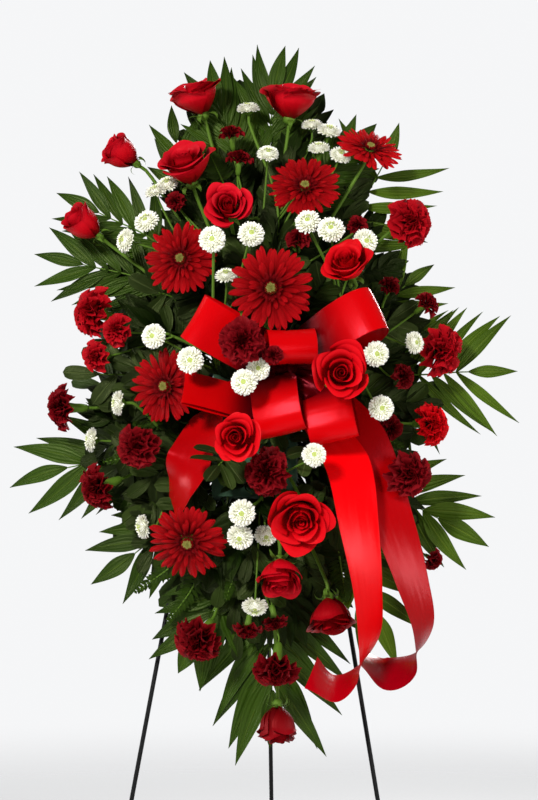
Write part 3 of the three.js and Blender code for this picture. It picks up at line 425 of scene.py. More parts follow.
# Easel: round wire. Its front legs lean back from their feet to the hinge bar
easel = {
    "radius": 3.2, "sides": 20, "hinge": 1372, "halfTop": 22, "footAside": 259, "footForward": 235,
    "rearFoot": 330, "bar": 1376.3, "barHalf": 25.2, "rails": {"upper": 1236, "lower": 905},
    "railInside": 3.75, "legClear": 14, "eye": 6.55, "eyeThick": (3.0, 5.0),
}


def legsForward(height):
    return easel["footForward"] * (1 - height / easel["hinge"])


# Foam: where stems end, and the space round it and the tray that filler leaves keep out of
foam = {
    "middle": 1060, "half": (60, 43, 165), "back": 6.3, "inFoam": 34, "outside": 14, "foliageAim": 22,
    "clear": {"aside": 66, "up": 172, "front": -94},
}
foamLean = Matrix.Rotation(-math.atan2(easel["footForward"], easel["hinge"]), 4, "X")
foamFrame = Matrix.Translation((0, -legsForward(foam["middle"]), foam["middle"])) @ foamLean
foamCentre = Vector((0, -foam["back"] - foam["half"][1], 0))
foamNear, foamTurn = np.array(foamFrame.translation), np.array(foamFrame.to_3x3())


def rootFrom(point, back=0, shift=(0, 0)):
    local = foamFrame.inverted() @ Vector(point)
    aim = foamCentre + Vector((shift[0], back, shift[1]))
    aim.x += min(max(local.x * 0.1, -25), 25)
    aim.z += min(max(local.z * 0.3, -120), 120)
    away = (local - aim).normalized()
    spans = []
    for axis in range(3):
        if abs(away[axis]) > 1e-9:
            face = foamCentre[axis] + math.copysign(foam["half"][axis], away[axis])
            spans.append((face - aim[axis]) / away[axis])
    entry = aim + away * min(spans)
    return [foamFrame @ (entry + away * d) for d in (foam["outside"], -foam["inFoam"])]


def stemRoute(points, back=0, shift=(0, 0)):
    outside, end = rootFrom(points[-1], back, shift)
    return rounded([*points, outside]) + [end]


def facingMatrix(middle, facing, across, spin):
    turn = Vector((0, 0, 1)).rotation_difference(facing).to_matrix().to_4x4()
    return Matrix.Translation(middle) @ turn @ Matrix.Rotation(spin, 4, "Z") @ Matrix.Scale(across, 4)


# A rose: broad petals wrapped round a rolled heart, with rims that turn back to a point
roseForm = {
    "heart": 7, "petals": 13, "rollFrom": 0.62, "sepals": 5, "wave": 0.026, "point": 0.07,
    "at": [0, 0.3, 0.6, 1],  # from the heart to the outermost petal, for the next three
    "rims": [0.02, 0.11, 0.26, 0.37], "rimHeights": [0.2, 0.2, 0.13, 0.02], "halves": [2.4, 1.25, 1.0, 0.86],
    "hip": [(0.0, -0.44), (0.035, -0.44), (0.06, -0.41), (0.092, -0.375), (0.098, -0.33), (0.08, -0.28)],
}


def roseHead(chance, spread=1.0):
    head = Surface()
    u, v = columns(19), rows(15)
    waist = float(np.interp(spread, [0.3, 1], [1.0, 0.66]))  # 1 is a barrel, less is a trumpet
    count = roseForm["heart"] + roseForm["petals"]
    lean = chance.uniform(0, 6)
    for i in range(count):
        t = i / (count - 1)
        turn = i * 2.25 + chance.normal(0, 0.2)
        own = chance.uniform()
        opened = spread * smooth(t, 0.15, 0.75)
        uneven = 1 + opened * 0.09 * math.sin(turn + lean)
        rim = np.interp(t, roseForm["at"], roseForm["rims"]) * chance.uniform(0.9, 1.1) * uneven
        rimHeight = np.interp(t, roseForm["at"], roseForm["rimHeights"]) + chance.normal(0, 0.02) * opened
        half = np.interp(t, roseForm["at"], roseForm["halves"]) * chance.uniform(0.92, 1.08)
        point = roseForm["point"] * opened * np.exp(-((u / 0.3) ** 2))
        s = v * (1 - 0.2 * np.abs(u) ** 2.2 + point)
        rollFrom = roseForm["rollFrom"]
        wall = np.minimum(s / rollFrom, 1)
        belly = rim * np.interp(t, [0, 0.4, 1], [1.7, 1.05, waist]) + 0.02
        radius = bezier(wall, 0.03 + 0.04 * t, belly, rim)
        bellyHeight = np.interp(t, [0, 1], [0.0, -0.24 + 0.1 * spread])
        height = bezier(wall, -0.31 + 0.03 * (1 - t), bellyHeight, rimHeight)
        rolled = np.maximum(s - rollFrom, 0) / (1 - rollFrom)
        bend = 0.25 + opened * (1.05 + 1.0 * np.abs(u) ** 1.4) * chance.uniform(0.75, 1.2)
        length = 0.07 + 0.12 * opened
        radius = radius + length * (1 - np.cos(bend * rolled)) / bend + 0.016 * u * (0.3 + t)
        height = height + length * np.sin(bend * rolled) / bend
        ripple = roseForm["wave"] * (0.2 + t) * s ** 3
        radius = radius + ripple * np.sin(3.4 * u + own * 6)
        height = height + ripple * np.sin(2.7 * u + own * 11)
        angle = turn + u * half * (0.45 + 0.55 * np.sin(wall * math.pi / 2))
        head.grid(turned(radius, angle, height), u, s, own, 1 if t < 0.3 else 0)
    lathe(head, roseForm["hip"], 2)
    u, v = columns(5), rows(9)
    for i in range(roseForm["sepals"]):
        turn = i * 2 * math.pi / roseForm["sepals"] + chance.normal(0, 0.1)
        length = chance.uniform(0.26, 0.36)
        bend = chance.uniform(0.5, 1.3)
        lift = v * 2.1 * bend - 0.9
        along = length * v
        radius = 0.09 + along * np.cos(lift) * 0.75
        height = -0.335 - np.sin(lift) * along * 0.55 + 0.02 * v
        half = 0.042 * np.sin(math.pi * np.clip(v, 0.12, 1) ** 0.6) + 0.002
        sideways = u * half
        points = turned(radius, turn, height)
        across = np.array([-math.sin(turn), math.cos(turn), 0])
        head.grid(points + sideways[..., None] * across, u, v, chance.uniform(), 2)
    return head


# A gerbera: rows of long rays round a dark fringe and a pale eye
gerberaForm = {"rays": 42, "inner": 20, "fringe": 34, "florets": 60, "eye": 0.72}


def ray(head, turn, foot, tip, half, heights, chance, kind, u, v):
    s = v * (1 - 0.05 * np.abs(u) ** 2)
    radius = foot + (tip - foot) * s
    taper = 1 - ((s - 0.66) / 0.36).clip(0, 1) ** 2
    width = half * (0.4 + 1.0 * s - 0.36 * s * s) * np.clip(taper, 0.01, 1) ** 0.7
    roll, sway = chance.normal(0, 0.22), chance.normal(0, 0.05)
    height = bezier(s, *heights) - width * (u ** 2) * 0.55
    height = height + roll * width * u + 0.004 * np.cos(u * math.pi * 2) * s
    angle = turn + sway * s
    points = turned(radius, angle, height)
    across = np.stack([-np.sin(angle), np.cos(angle), np.zeros_like(angle)], -1)
    head.grid(points + (width * u)[..., None] * across, u, s, chance.uniform(), kind)


def gerberaHead(chance):
    head = Surface()
    u, v = columns(7), rows(13)
    for i in range(gerberaForm["rays"]):
        back = i % 2
        turn = 2 * math.pi * i / gerberaForm["rays"] + chance.normal(0, 0.035)
        tip = (0.48 if back else 0.5) * chance.uniform(0.9, 1.02)
        droop = chance.normal(-0.02, 0.025)
        ray(head, turn, 0.08, tip, 0.043, (-0.05 - 0.01 * back, 0.03 - 0.02 * back, droop), chance, 0, u, v)
    u, v = columns(5), rows(7)
    for i in range(gerberaForm["inner"]):
        turn = 2 * math.pi * i / gerberaForm["inner"] + chance.normal(0, 0.05)
        tip = chance.uniform(0.24, 0.34)
        ray(head, turn, 0.08, tip, 0.03, (-0.02, 0.035, 0.02 + chance.normal(0, 0.012)), chance, 0, u, v)
    u, v = columns(3), rows(5)
    for i in range(gerberaForm["fringe"]):
        turn = 2 * math.pi * i / gerberaForm["fringe"] * 1.02
        tip = chance.uniform(0.12, 0.18)
        ray(head, turn, 0.07, tip, 0.014, (0.0, 0.045, 0.055 + chance.normal(0, 0.01)), chance, 1, u, v)
    for i in range(gerberaForm["florets"]):
        share = math.sqrt((i + 0.5) / gerberaForm["florets"])
        radius, turn = 0.075 * share, i * 2.4
        top = 0.058 - 0.02 * share ** 2
        spot = np.array([radius * math.cos(turn), radius * math.sin(turn), top])
        bud = Surface()
        outline = [(0.0085, -0.03), (0.0085, 0.0), (0.006, 0.006), (0.0, 0.008)]
        lathe(bud, outline, 0, 6, chance.uniform(), 0.3 + 0.5 * share)
        head.add(bud, Matrix.Translation(spot), [1 if share > gerberaForm["eye"] else 2])
    outline = [(0.0, -0.15), (0.03, -0.15), (0.045, -0.13), (0.11, -0.08), (0.13, -0.045), (0.05, -0.03)]
    lathe(head, outline, 3)
    return head


# A carnation: fan petals, folded in waves, with toothed rims. A ring of them: how many, and the radius and
# height of their rims and of their bends
carnationRings = [
    (8, 0.52, -0.07, 0.2, 0.03),
    (8, 0.5, 0.05, 0.18, 0.07),
    (7, 0.42, 0.15, 0.15, 0.12),
    (7, 0.32, 0.21, 0.12, 0.16),
    (6, 0.22, 0.25, 0.09, 0.2),
    (5, 0.13, 0.27, 0.05, 0.22),
    (3, 0.06, 0.28, 0.02, 0.22),
]
carnationCup = [
    (0.0, -0.62), (0.03, -0.62), (0.075, -0.58), (0.095, -0.45), (0.1, -0.3), (0.12, -0.17), (0.06, -0.12),
]


def carnationHead(chance, full=True):
    head = Surface()
    u, v = (columns(21), rows(9)) if full else (columns(13), rows(7))
    rings = carnationRings if full else carnationRings[::2]
    for j, (count, rim, rimHeight, bendRadius, bendHeight) in enumerate(rings):
        for k in range(count):
            own = chance.uniform()
            turn = 2 * math.pi * (k + 0.5 * (j % 2)) / count + chance.normal(0, 0.2)
            size = chance.uniform(0.78, 1.08)
            teeth = 0.05 * np.abs(((u * 5.5 + own) % 1) * 2 - 1)
            s = v * (1 - 0.12 * np.abs(u) ** 3 - teeth)
            radius = bezier(s, 0.04, bendRadius, rim * size)
            height = bezier(s, -0.19, bendHeight, rimHeight * size + chance.normal(0, 0.012))
            waves = chance.uniform(1.2, 2.4)
            fold = 0.085 * s ** 1.4 * np.sin(waves * math.pi * u + own * 9)
            fold = fold + 0.02 * s ** 3 * np.sin(9 * u + own * 5)
            rise = math.atan2(rimHeight + 0.19, rim)
            radius = radius - fold * math.sin(rise)
            height = height + fold * math.cos(rise)
            half = (0.24 + 0.36 * s ** 0.8) * (1 + 0.9 * (1 - rim / 0.53))
            angle = turn + u * half + 0.05 * s * np.sin(5 * u + own * 7)
            head.grid(turned(radius, angle, height), u, s, own, 0)
    lathe(head, carnationCup, 1)
    return head


# A button pom: small spoon petals set round by the golden angle over a low dome
pomForm = {"petals": 130, "heart": 13}


def pomHead(chance):
    head = Surface()
    u, v = columns(4), rows(5)
    for i in range(pomForm["petals"]):
        share = math.sqrt((i + 0.5) / pomForm["petals"])
        turn = i * 2.39996 + chance.normal(0, 0.05)
        polar = share * 1.8
        foot = np.array([0.3 * math.sin(polar), 0.0, 0.24 * math.cos(polar) - 0.02])
        lean = min(polar * 0.95 + 0.15, 1.75) + chance.normal(0, 0.08)
        way = np.array([math.sin(lean), 0.0, math.cos(lean)])
        up = np.array([-math.cos(lean), 0.0, math.sin(lean)])
        length = (0.05 + 0.15 * smooth(share, 0.05, 0.75)) * chance.uniform(0.85, 1.1)
        width = 0.02 + 0.036 * share
        shape = width * np.sqrt(np.clip(1 - (v * 1.3 - 0.55) ** 2 * 1.4, 0.12, 1))
        spoon = 0.7 * width * u ** 2 + length * 0.25 * (v - 0.3) ** 2 * (1.2 - share)
        points = foot + (v * length)[..., None] * way + spoon[..., None] * up
        points = points + (shape * u)[..., None] * np.array([0.0, 1.0, 0.0])
        c, s = math.cos(turn), math.sin(turn)
        points = points @ np.array([[c, s, 0], [-s, c, 0], [0, 0, 1]])
        head.grid(points, u, v, chance.uniform(), 1 if i < pomForm["heart"] else 0)
    lathe(head, [(0.31, -0.06), (0.3, 0.0), (0.24, 0.09), (0.1, 0.165)], 0, mark=0.7)
    lathe(head, [(0.1, 0.165), (0.05, 0.177), (0.0, 0.18)], 1, mark=0.3)
    lathe(head, [(0.0, -0.3), (0.05, -0.28), (0.17, -0.19), (0.29, -0.1), (0.31, -0.06)], 2)
    return head


# How far behind a head's middle its stem begins, in widths of the head, and what the stems are like in mm
necks = {"rose": 0.42, "gerbera": 0.14, "carnation": 0.6, "pom": 0.3}
stems = {
    "rose": 2.6, "gerbera": 2.6, "carnation": 2.2, "spray": 2.2, "branch": 1.5, "frond": 2.8,
    "ribs": (2.0, 0.9), "inHead": 0.97, "bend": 18, "sprayBend": 14, "branchesApart": 7,
}
heads = {"rose": roseHead, "gerbera": gerberaHead, "carnation": carnationHead, "pom": pomHead}
# dusk and deep: the rose finishes painted in shade
red, crimson, dusk, deep = [roseRed, roseHeartPaintedShade], [roseCrimson] * 2, [rosePaintedShade] * 2, [rosePaintedDeepShade] * 2
darkRays, brightRays = [gerberaRed, gerberaFringe, gerberaEye], [gerberaBright, gerberaFringe, gerberaEye]

# Blooms: place in the picture and forward, where it faces, width, petals' finishes, and what else is its own
roseList = {
    "rose_top_left": ((197, 95, 62), (-0.3, 0.25, 1), 88, crimson, {"longer": 0.9}),
    "rose_top_right": ((291, 98, 72), (0.1, 0.25, 1), 92, crimson, {"longer": 0.85}),
    "rose_left_high": ((123, 154, 78), (-1, 0.4, 0.7), 70, crimson, {"longer": 1.2, "spread": 0.5}),
    "rose_upper_left": ((185, 164, 130), (-0.28, 0.5, 0.9), 92, crimson, {"longer": 0.9}),
    "rose_upper_middle": ((228, 207, 190), (0, 1, 0.35), 76, crimson),
    "rose_far_left": ((86, 226, 95), (-0.8, 0.5, 0.65), 72, crimson, {"longer": 1.3, "spread": 0.46}),
    "rose_right_high": ((348, 266, 225), (-0.25, 0.75, 0.6), 76, red),
    "rose_bow_right": ((340, 374, 318), (0.15, 1, 0.1), 86, red),
    "rose_bow_left": ((236, 437, 300), (-0.05, 1, 0), 72, red),
    "rose_low_middle": ((301, 516, 270), (0.05, 1, -0.4), 97, red),
    "rose_nodding_middle": ((279, 577, 245), (0, 0.6, -0.9), 81, crimson, {"longer": 0.95, "spread": 0.7}),
    "rose_nodding_right": ((331, 615, 215), (0.14, 0.4, -1), 80, dusk, {"spread": 0.8}),
    "rose_tip": ((278, 722, 184), (0.03, 0.22, -1), 78, deep, {"longer": 1.15, "spread": 0.46}),
}
gerberaList = {
    "gerbera_left_high": ((180, 258, 186), (-0.2, 1, 0.12), 110, darkRays),
    "gerbera_middle": ((271, 288, 266), (0, 1, 0.08), 122, darkRays),
    "gerbera_upper_right": ((305, 186, 165), (0.05, 0.85, 0.5), 108, darkRays),
    "gerbera_top_right": ((370, 148, 92), (0.3, 0.6, 0.78), 102, brightRays),
    "gerbera_left": ((164, 386, 194), (-0.45, 1, -0.02), 112, darkRays),
    "gerbera_low_left": ((187, 543, 225), (-0.05, 0.9, -0.45), 118, darkRays),
}
carnationList = {
    "carnation_right_high": ((410, 223, 105), (0.5, 0.85, 0.15), 72, [carnationRed]),
    "carnation_right": ((441, 350, 115), (0.8, 0.65, 0), 76, [carnationRed]),
    "carnation_bow_left": ((243, 341, 300), (-0.05, 1, 0.1), 66, [carnationDark]),
    "carnation_left_low": ((137, 447, 195), (-0.45, 1, -0.1), 66, [carnationDark]),
    "carnation_lower_left": ((96, 488, 145), (-0.8, 0.65, -0.3), 69, [carnationDark]),
    "carnation_far_left": ((60, 408, 118), (-0.95, 0.5, 0), 67, [carnationDark]),
    "carnation_middle": ((267, 472, 262), (-0.08, 1, 0.02), 68, [carnationDark]),
    "carnation_bottom_left": ((198, 642, 196), (-0.35, 0.75, -0.6), 76, [carnationDark]),
    "carnation_far_right": ((432, 424, 130), (0.72, 0.68, 0), 63, [carnationBright]),
}
redSlots = ("carnation_right_high", "carnation_left_low", "carnation_far_right", "carnations_left")
rootShift = {
    "rose_tip": (14, 0),
    "gerbera_upper_right": (-17, 0),
    "carnation_lower_left": (0, 12),
    "carnation_far_right": (0, -12),
    "small_carnations_right": (0, -8),
    "poms_left": (0, -14),
}
stemByWayOf = {
    "rose_bow_right": ((342, 369, 258), (345, 362, 150)),
    "carnation_bow_left": ((241, 309, 256), (240, 310, 180)),
}
keepClear = []  # middles and radii of what the filler leaves grow round


def bloomStem(surface, name, place, facing, neck, radius, kind):
    middle = seen(*place)
    bends = [seen(*p) for p in stemByWayOf.get(name, ())] or [middle - facing * (neck + stems["bend"])]
    route = stemRoute([middle - facing * neck * stems["inHead"], *bends], 0, rootShift.get(name, (0, 0)))
    tube(surface, route, radius, kind, 8, mark=0.6)


def slotFor(name, kind):
    if kind != "carnation":
        return kind
    return "carnation_red" if name in redSlots else "carnation_dark"


def makeBlooms(kind, blooms):
    neck = necks[kind]
    for name, (place, faces, across, petals, *own) in blooms.items():
        own = dict(*own)
        chance = chanceFor(name)
        facing = toward(faces)
        bloom = Surface()
        keepClear.append((seen(*place), across / 2))
        matrix = facingMatrix(seen(*place), facing, across, chance.uniform(0, 6))
        longer = own.get("longer", 1)  # drawn out from its foot, so the stem still meets it
        slimmer = 1 / longer ** 0.4
        draw = Matrix.Diagonal((slimmer, slimmer, longer, 1))
        draw.translation = (0, 0, neck * (longer - 1))
        spread = {"spread": own["spread"]} if "spread" in own else {}
        bloom.add(heads[kind](chance, **spread), matrix @ draw)
        bloomStem(bloom, name, place, facing, neck * across, stems[kind], len(petals))
        bloom.piece(name + "_bloom", petals + [stemGreen], slotFor(name, kind), name)


makeBlooms("rose", roseList)
print("roses made")
makeBlooms("gerbera", gerberaList)
print("gerberas made")
makeBlooms("carnation", carnationList)
print("carnations made")

# Sprays: the first head is the stem's own, and the others branch from it below the fork. True is a full head
carnationSprays = {
    "carnations_left": ((165, 332, 130), [
        ((92, 311, 125), (-0.75, 0.7, 0.25), 76, True),
        ((116, 329, 165), (-0.4, 1, 0.1), 50, False),
        ((95, 357, 150), (-0.6, 0.9, -0.1), 49, False),
    ]),
    "small_carnations_top": ((246, 205, 100), [
        ((298, 238, 150), (0, 0.8, 0.6), 38, False),
        ((231, 133, 85), (-0.1, 0.3, 1), 42, False),
        ((239, 158, 118), (0.1, 0.3, 1), 42, False),
    ]),
    "small_carnations_right": ((372, 346, 122), [
        ((390, 286, 125), (0.3, 0.6, 0.7), 34, False),
        ((427, 304, 112), (0.7, 0.5, 0.5), 42, False),
        ((403, 376, 165), (0.6, 0.8, 0), 40, False),
        ((390, 428, 150), (0.4, 1, 0), 44, False),
    ]),
    "carnations_right_low": ((366, 478, 112), [
        ((409, 474, 205), (0.55, 0.85, -0.05), 70, True),
        ((434, 560, 122), (0.7, 0.7, -0.4), 34, False),
    ]),
    "carnations_bottom": ((246, 552, 150), [
        ((247, 630, 200), (-0.15, 0.4, -1), 44, False),
        ((275, 622, 198), (0.2, 0.3, -1), 42, False),
        ((276, 670, 226), (-0.05, 0.6, -0.9), 71, True),
    ]),
}
littleCarnations = ((262, 300, 120), [
    ((273, 355, 292), (-0.05, 1, 0.1), 32, False),
    ((175, 201, 112), (-0.2, 0.9, 0.4), 34, False),
    ((357, 226, 150), (0.2, 0.9, 0.3), 34, False),
])
pomSprays = {
    "poms_left_high": ((185, 255, 110), [
        ((146, 221, 150), (-0.3, 0.7, 0.6), 37),
        ((125, 240, 120), (-0.8, 0.6, 0.2), 36),
        ((155, 191, 105), (-0.3, 0.4, 0.9), 32),
    ]),
    "poms_top": ((282, 205, 90), [
        ((248, 109, 60), (-0.05, 0.25, 1), 34),
        ((312, 126, 62), (0, 0.3, 1), 32),
        ((329, 132, 88), (0.2, 0.4, 0.9), 34),
        ((319, 149, 112), (0, 0.4, 1), 32),
    ]),
    "poms_middle": ((212, 368, 184), [
        ((212, 239, 238), (0, 1, 0.1), 38),
        ((251, 234, 222), (0.2, 0.9, 0.4), 38),
        ((226, 276, 232), (0, 0.5, 0.9), 32),
        ((153, 336, 215), (-0.3, 1, 0.1), 36),
        ((190, 360, 258), (0, 1, 0), 38),
    ]),
    "poms_right": ((345, 300, 150), [
        ((308, 222, 205), (-0.1, 0.8, 0.5), 37),
        ((331, 230, 215), (0, 0.8, 0.5), 40),
        ((365, 242, 190), (0.4, 0.9, 0.2), 37),
        ((376, 354, 262), (0.3, 1, 0), 36),
        ((414, 343, 175), (0.7, 0.7, 0.1), 32),
        ((381, 408, 284), (0.3, 1, 0), 36),
    ]),
    "poms_left": ((170, 440, 120), [
        ((118, 403, 165), (-1, 0.3, 0), 36),
        ((91, 440, 130), (-1, 0.3, 0.1), 36),
        ((143, 527, 165), (-0.9, 0.4, -0.1), 36),
    ]),
    "poms_low_middle": ((262, 500, 190), [
        ((242, 513, 262), (-0.05, 1, -0.1), 38),
        ((240, 537, 240), (-0.1, 0.9, -0.4), 38),
        ((266, 535, 215), (0.1, 0.8, -0.5), 34),
        ((255, 606, 232), (0, 0.6, -0.8), 37),
        ((314, 455, 285), (0.1, 0.9, 0.2), 34),
    ]),
}
littlePoms = ((255, 330, 120), [
    ((244, 382, 296), (-0.1, 1, 0.1), 37),
    ((258, 369, 280), (0.1, 1, 0.2), 33),
    ((268, 154, 120), (0.1, 0.6, 0.8), 32),
    ((340, 156, 110), (0.3, 0.6, 0.7), 32),
    ((167, 184, 100), (-0.2, 0.6, 0.8), 32),
])


def makeSpray(name, kind, fork, branches, petals):
    chance, neck = chanceFor(name), necks[kind]
    shift = rootShift.get(name, (0, 0))
    forkPoint = seen(*fork)
    down = (rootFrom(forkPoint, 0, shift)[0] - forkPoint).normalized()
    green, apart = len(petals), stems["branchesApart"]
    spray = Surface()
    for i, (place, faces, across, *full) in enumerate(branches):
        middle, facing = seen(*place), toward(faces)
        top = middle - facing * neck * across * stems["inHead"]
        bend = middle - facing * (neck * across + stems["sprayBend"])
        if i:
            tube(spray, rounded([top, bend, forkPoint + down * apart * i]), stems["branch"], green, 7)
        else:
            tube(spray, stemRoute([top, bend, forkPoint], 0, shift), stems["spray"], green, 8)
        keepClear.append((middle, across / 2))
        spray.add(heads[kind](chance, *full), facingMatrix(middle, facing, across, chance.uniform(0, 6)))
    spray.piece(name + "_spray", petals + [stemGreen], slotFor(name, kind), name)


for name, (fork, branches) in carnationSprays.items():
    makeSpray(name, "carnation", fork, branches, [carnationRed if name in redSlots else carnationDark])
for name, (fork, branches) in pomSprays.items():
    makeSpray(name, "pom", fork, branches, [pomWhite, pomHeart])
makeSpray("little_carnations", "carnation", *littleCarnations, [carnationDark])
makeSpray("little_poms", "pom", *littlePoms, [pomWhite, pomHeart])
print("sprays made")

# Foliage: leaves left and right of a stalk, in pairs or by turns, with one at its end
palmLeaf = {
    "half": 11, "widest": 0.4, "blunt": 0.02, "angle": (60, 26), "taper": 0.1, "droop": 0.12, "fold": 0.3,
    "grid": (7, 17), "curve": 0.11, "end": 0.82, "growsRound": False,
}
broadLeaf = {
    "half": 11, "widest": 0.6, "blunt": 0.35, "angle": (75, 40), "taper": 0.1, "droop": 0.12, "fold": 0.25,
    "grid": (9, 15), "curve": 0, "end": 1, "growsRound": False,
}
fernLeaf = palmLeaf | {
    "half": 3.2, "angle": (78, 50), "taper": 0.75, "fold": 0.15, "grid": (3, 6), "end": 0.6,
}

# Each: its foot, what its leaves have of their own, and its fronds. A frond: its line beyond the foot, the
# number of leaves or pairs, where on the line they begin, their length, and what differs again
palms = {
    "palm_top": ((262, 262, 50), {"half": 12}, [
        (((266, 170, 34), (274, 96, 20)), 9, 0.42, 107.52),
        (((242, 180, 44), (220, 108, 26)), 8, 0.42, 107.52, {"angle": (50, 20)}),
        (((304, 200, 62), (350, 152, 50)), 7, 0.47, 79.36),
    ]),
    "palm_left": ((205, 320, 66), {"half": 10.5}, [
        (((160, 246, 50), (98, 212, 38)), 7, 0.35, 99.84),
        (((150, 282, 60), (82, 264, 50)), 7, 0.35, 107.52),
        (((195, 220, 34), (176, 142, 22)), 6, 0.35, 79.36),
    ]),
    "palm_lower_left": ((205, 460, 90), {"half": 13.5}, [
        (((150, 452, 86), (66, 468, 80)), 6, 0.25, 126.88),
        (((182, 515, 102), (134, 554, 104)), 4, 0.35, 107.36),
    ]),
    "palm_bottom": ((262, 530, 98), {"half": 15.5, "end": 0.6}, [
        (((268, 610, 122), (272, 690, 132)), 7, 0.32, 154.76, {"angle": (62, 24)}),
        (((225, 590, 128), (196, 640, 140)), 4, 0.42, 101.76, {"angle": (55, 26)}),
    ]),
    "palm_right": ((318, 330, 66), {"half": 10, "end": 0.62}, [
        (((392, 372, 68), (468, 372, 62)), 7, 0.43, 129.32, {"angle": (74, 40)}),
        (((352, 225, 44), (384, 164, 34)), 6, 0.27, 117.12, {"angle": (82, 62)}),
        (((374, 312, 56), (405, 286, 48)), 3, 0.45, 97.6),
    ]),
    "palm_lower_right": ((318, 470, 92), {"half": 12.5}, [
        (((384, 490, 86), (438, 518, 94)), 5, 0.3, 112.24),
        (((348, 545, 130), (376, 612, 146)), 4, 0.3, 109.8),
    ]),
}
broadLeaves = {
    "leaves_left": ((192, 384, 98), {}, [
        (((150, 376, 116), (98, 374, 118)), 8, 0.3, 60),
        (((175, 300, 100), (158, 292, 112)), 4, 0.6, 56),
    ]),
    "leaves_front": ((236, 448, 184), {}, [
        (((227, 456, 222), (218, 466, 252)), 5, 0.45, 50),
    ]),
    "leaves_right": ((330, 352, 98), {}, [
        (((365, 335, 94), (389, 321, 88)), 6, 0.5, 56),
        (((322, 420, 160), (308, 456, 210)), 4, 0.65, 40),
    ]),
}
ferns = {
    "ferns_left": ((208, 440, 100), {}, [
        (((170, 420, 130), (134, 424, 138)), 17, 0.3, 26),
        (((176, 400, 120), (140, 392, 120)), 15, 0.3, 24),
        (((160, 450, 125), (104, 462, 128)), 17, 0.3, 26),
    ]),
    "ferns_lower_left": ((214, 500, 106), {}, [
        (((182, 556, 138), (136, 592, 142)), 19, 0.35, 27),
        (((196, 580, 142), (168, 622, 150)), 15, 0.4, 24),
        (((236, 560, 150), (226, 600, 168)), 13, 0.4, 24),
    ]),
    "ferns_right": ((318, 420, 100), {}, [
        (((362, 430, 110), (402, 446, 112)), 15, 0.35, 24),
        (((340, 560, 140), (346, 600, 150)), 13, 0.5, 24),
    ]),
    "ferns_top": ((262, 280, 90), {}, [
        (((222, 180, 90), (206, 146, 84)), 17, 0.5, 24),
        (((300, 200, 90), (342, 176, 84)), 15, 0.5, 22),
    ]),
}


def blocked(points):  # a leaf would touch a bloom or a ribbon, or stand before it
    middles = np.array([middle for middle, _ in keepClear])
    radii = np.array([radius for _, radius in keepClear])
    if (np.linalg.norm(points[:, None] - middles, axis=2) < radii + 2).any():
        return True
    local, clear = (points - foamNear) @ foamTurn, foam["clear"]
    beside = (np.abs(local[:, 0]) < clear["aside"]) & (np.abs(local[:, 2]) < clear["up"])
    if (beside & (local[:, 1] > clear["front"])).any():
        return True
    legPlane = -legsForward(points[:, 2]) - easel["legClear"]  # the folded rear leg lies there
    if ((np.abs(points[:, 0]) < easel["legClear"]) & (points[:, 1] > legPlane)).any():
        return True
    eye = np.array(picture["eye"])
    sight = points - eye
    reach = np.linalg.norm(sight, axis=1)
    sight = sight / reach[:, None]
    toMiddle = middles - eye
    ahead = sight @ toMiddle.T
    aside = np.sqrt(np.maximum((toMiddle ** 2).sum(1) - ahead ** 2, 0))
    return bool(((aside < radii * 0.85) & (ahead > reach[:, None])).any())


def blade(surface, foot, out, across, normal, length, leaf, chance, curve=0.0):
    u, v = columns(leaf["grid"][0]), rows(leaf["grid"][1])
    rise = (v / leaf["widest"]).clip(0, 1)
    fall = ((v - leaf["widest"]) / (1 - leaf["widest"])).clip(0, 1)
    tip = (1 - fall ** 3) ** 0.5 if leaf["blunt"] > 0.1 else (1 - fall ** 1.5) ** 1.05
    width = (0.12 + 0.88 * np.sin(rise * math.pi / 2) ** 0.9) * tip
    width = leaf["half"] * chance.uniform(0.8, 1.1) * np.maximum(width, 0.015)
    droop = leaf["droop"] * chance.uniform(0.7, 1.5)
    sway, twist = chance.normal(curve, 0.05), chance.normal(0, 0.25)
    lift = leaf["fold"] * width * np.abs(u) - droop * length * v * v + twist * width * u * v + 1.0
    lift = lift + 0.35 * np.sin(v * 9 + chance.uniform(0, 6)) * np.abs(u)
    side = width * u + sway * length * v * v
    points = np.array(foot) + (length * v)[..., None] * np.array(out) + side[..., None] * np.array(across)
    points = points + lift[..., None] * np.array(normal)
    own = chance.uniform()
    if not (leaf["growsRound"] and blocked(points.reshape(-1, 3))):
        surface.grid(points, u, v, own, 0)


def leafyStem(surface, path, leaves, leafFrom, length, leaf, chance, pairs=True, steps=24):
    up = toward((0, 1, 0.1))
    line = [throughPoints(path, s) for s in np.linspace(0, 1, steps)]
    tube(surface, line, np.linspace(*stems["ribs"], steps), 1, 7)
    for i in range(1, leaves + 2):
        share = leafFrom + (1 - leafFrom) * (i - 1) / leaves
        point = throughPoints(path, share)
        along = (throughPoints(path, min(share + 0.01, 1)) - throughPoints(path, share - 0.01)).normalized()
        side = along.cross(up).normalized()
        normal = side.cross(along).normalized()
        part = (i - 1) / leaves
        angle = math.radians(leaf["angle"][0] + (leaf["angle"][1] - leaf["angle"][0]) * part)
        size = length * (1 - leaf["taper"] * part)
        if i > leaves:
            blade(surface, point, along, side, normal, size * leaf["end"], leaf, chance)
            break
        for sign in (-1, 1) if pairs else (-1,) if i % 2 else (1,):
            tilt = angle + (chance.normal(0, 0.06) if pairs else 0)
            out = along * math.cos(tilt) + side * sign * math.sin(tilt)
            across = out.cross(normal).normalized()
            blade(surface, point, out, across, normal, size, leaf, chance, -sign * leaf["curve"])


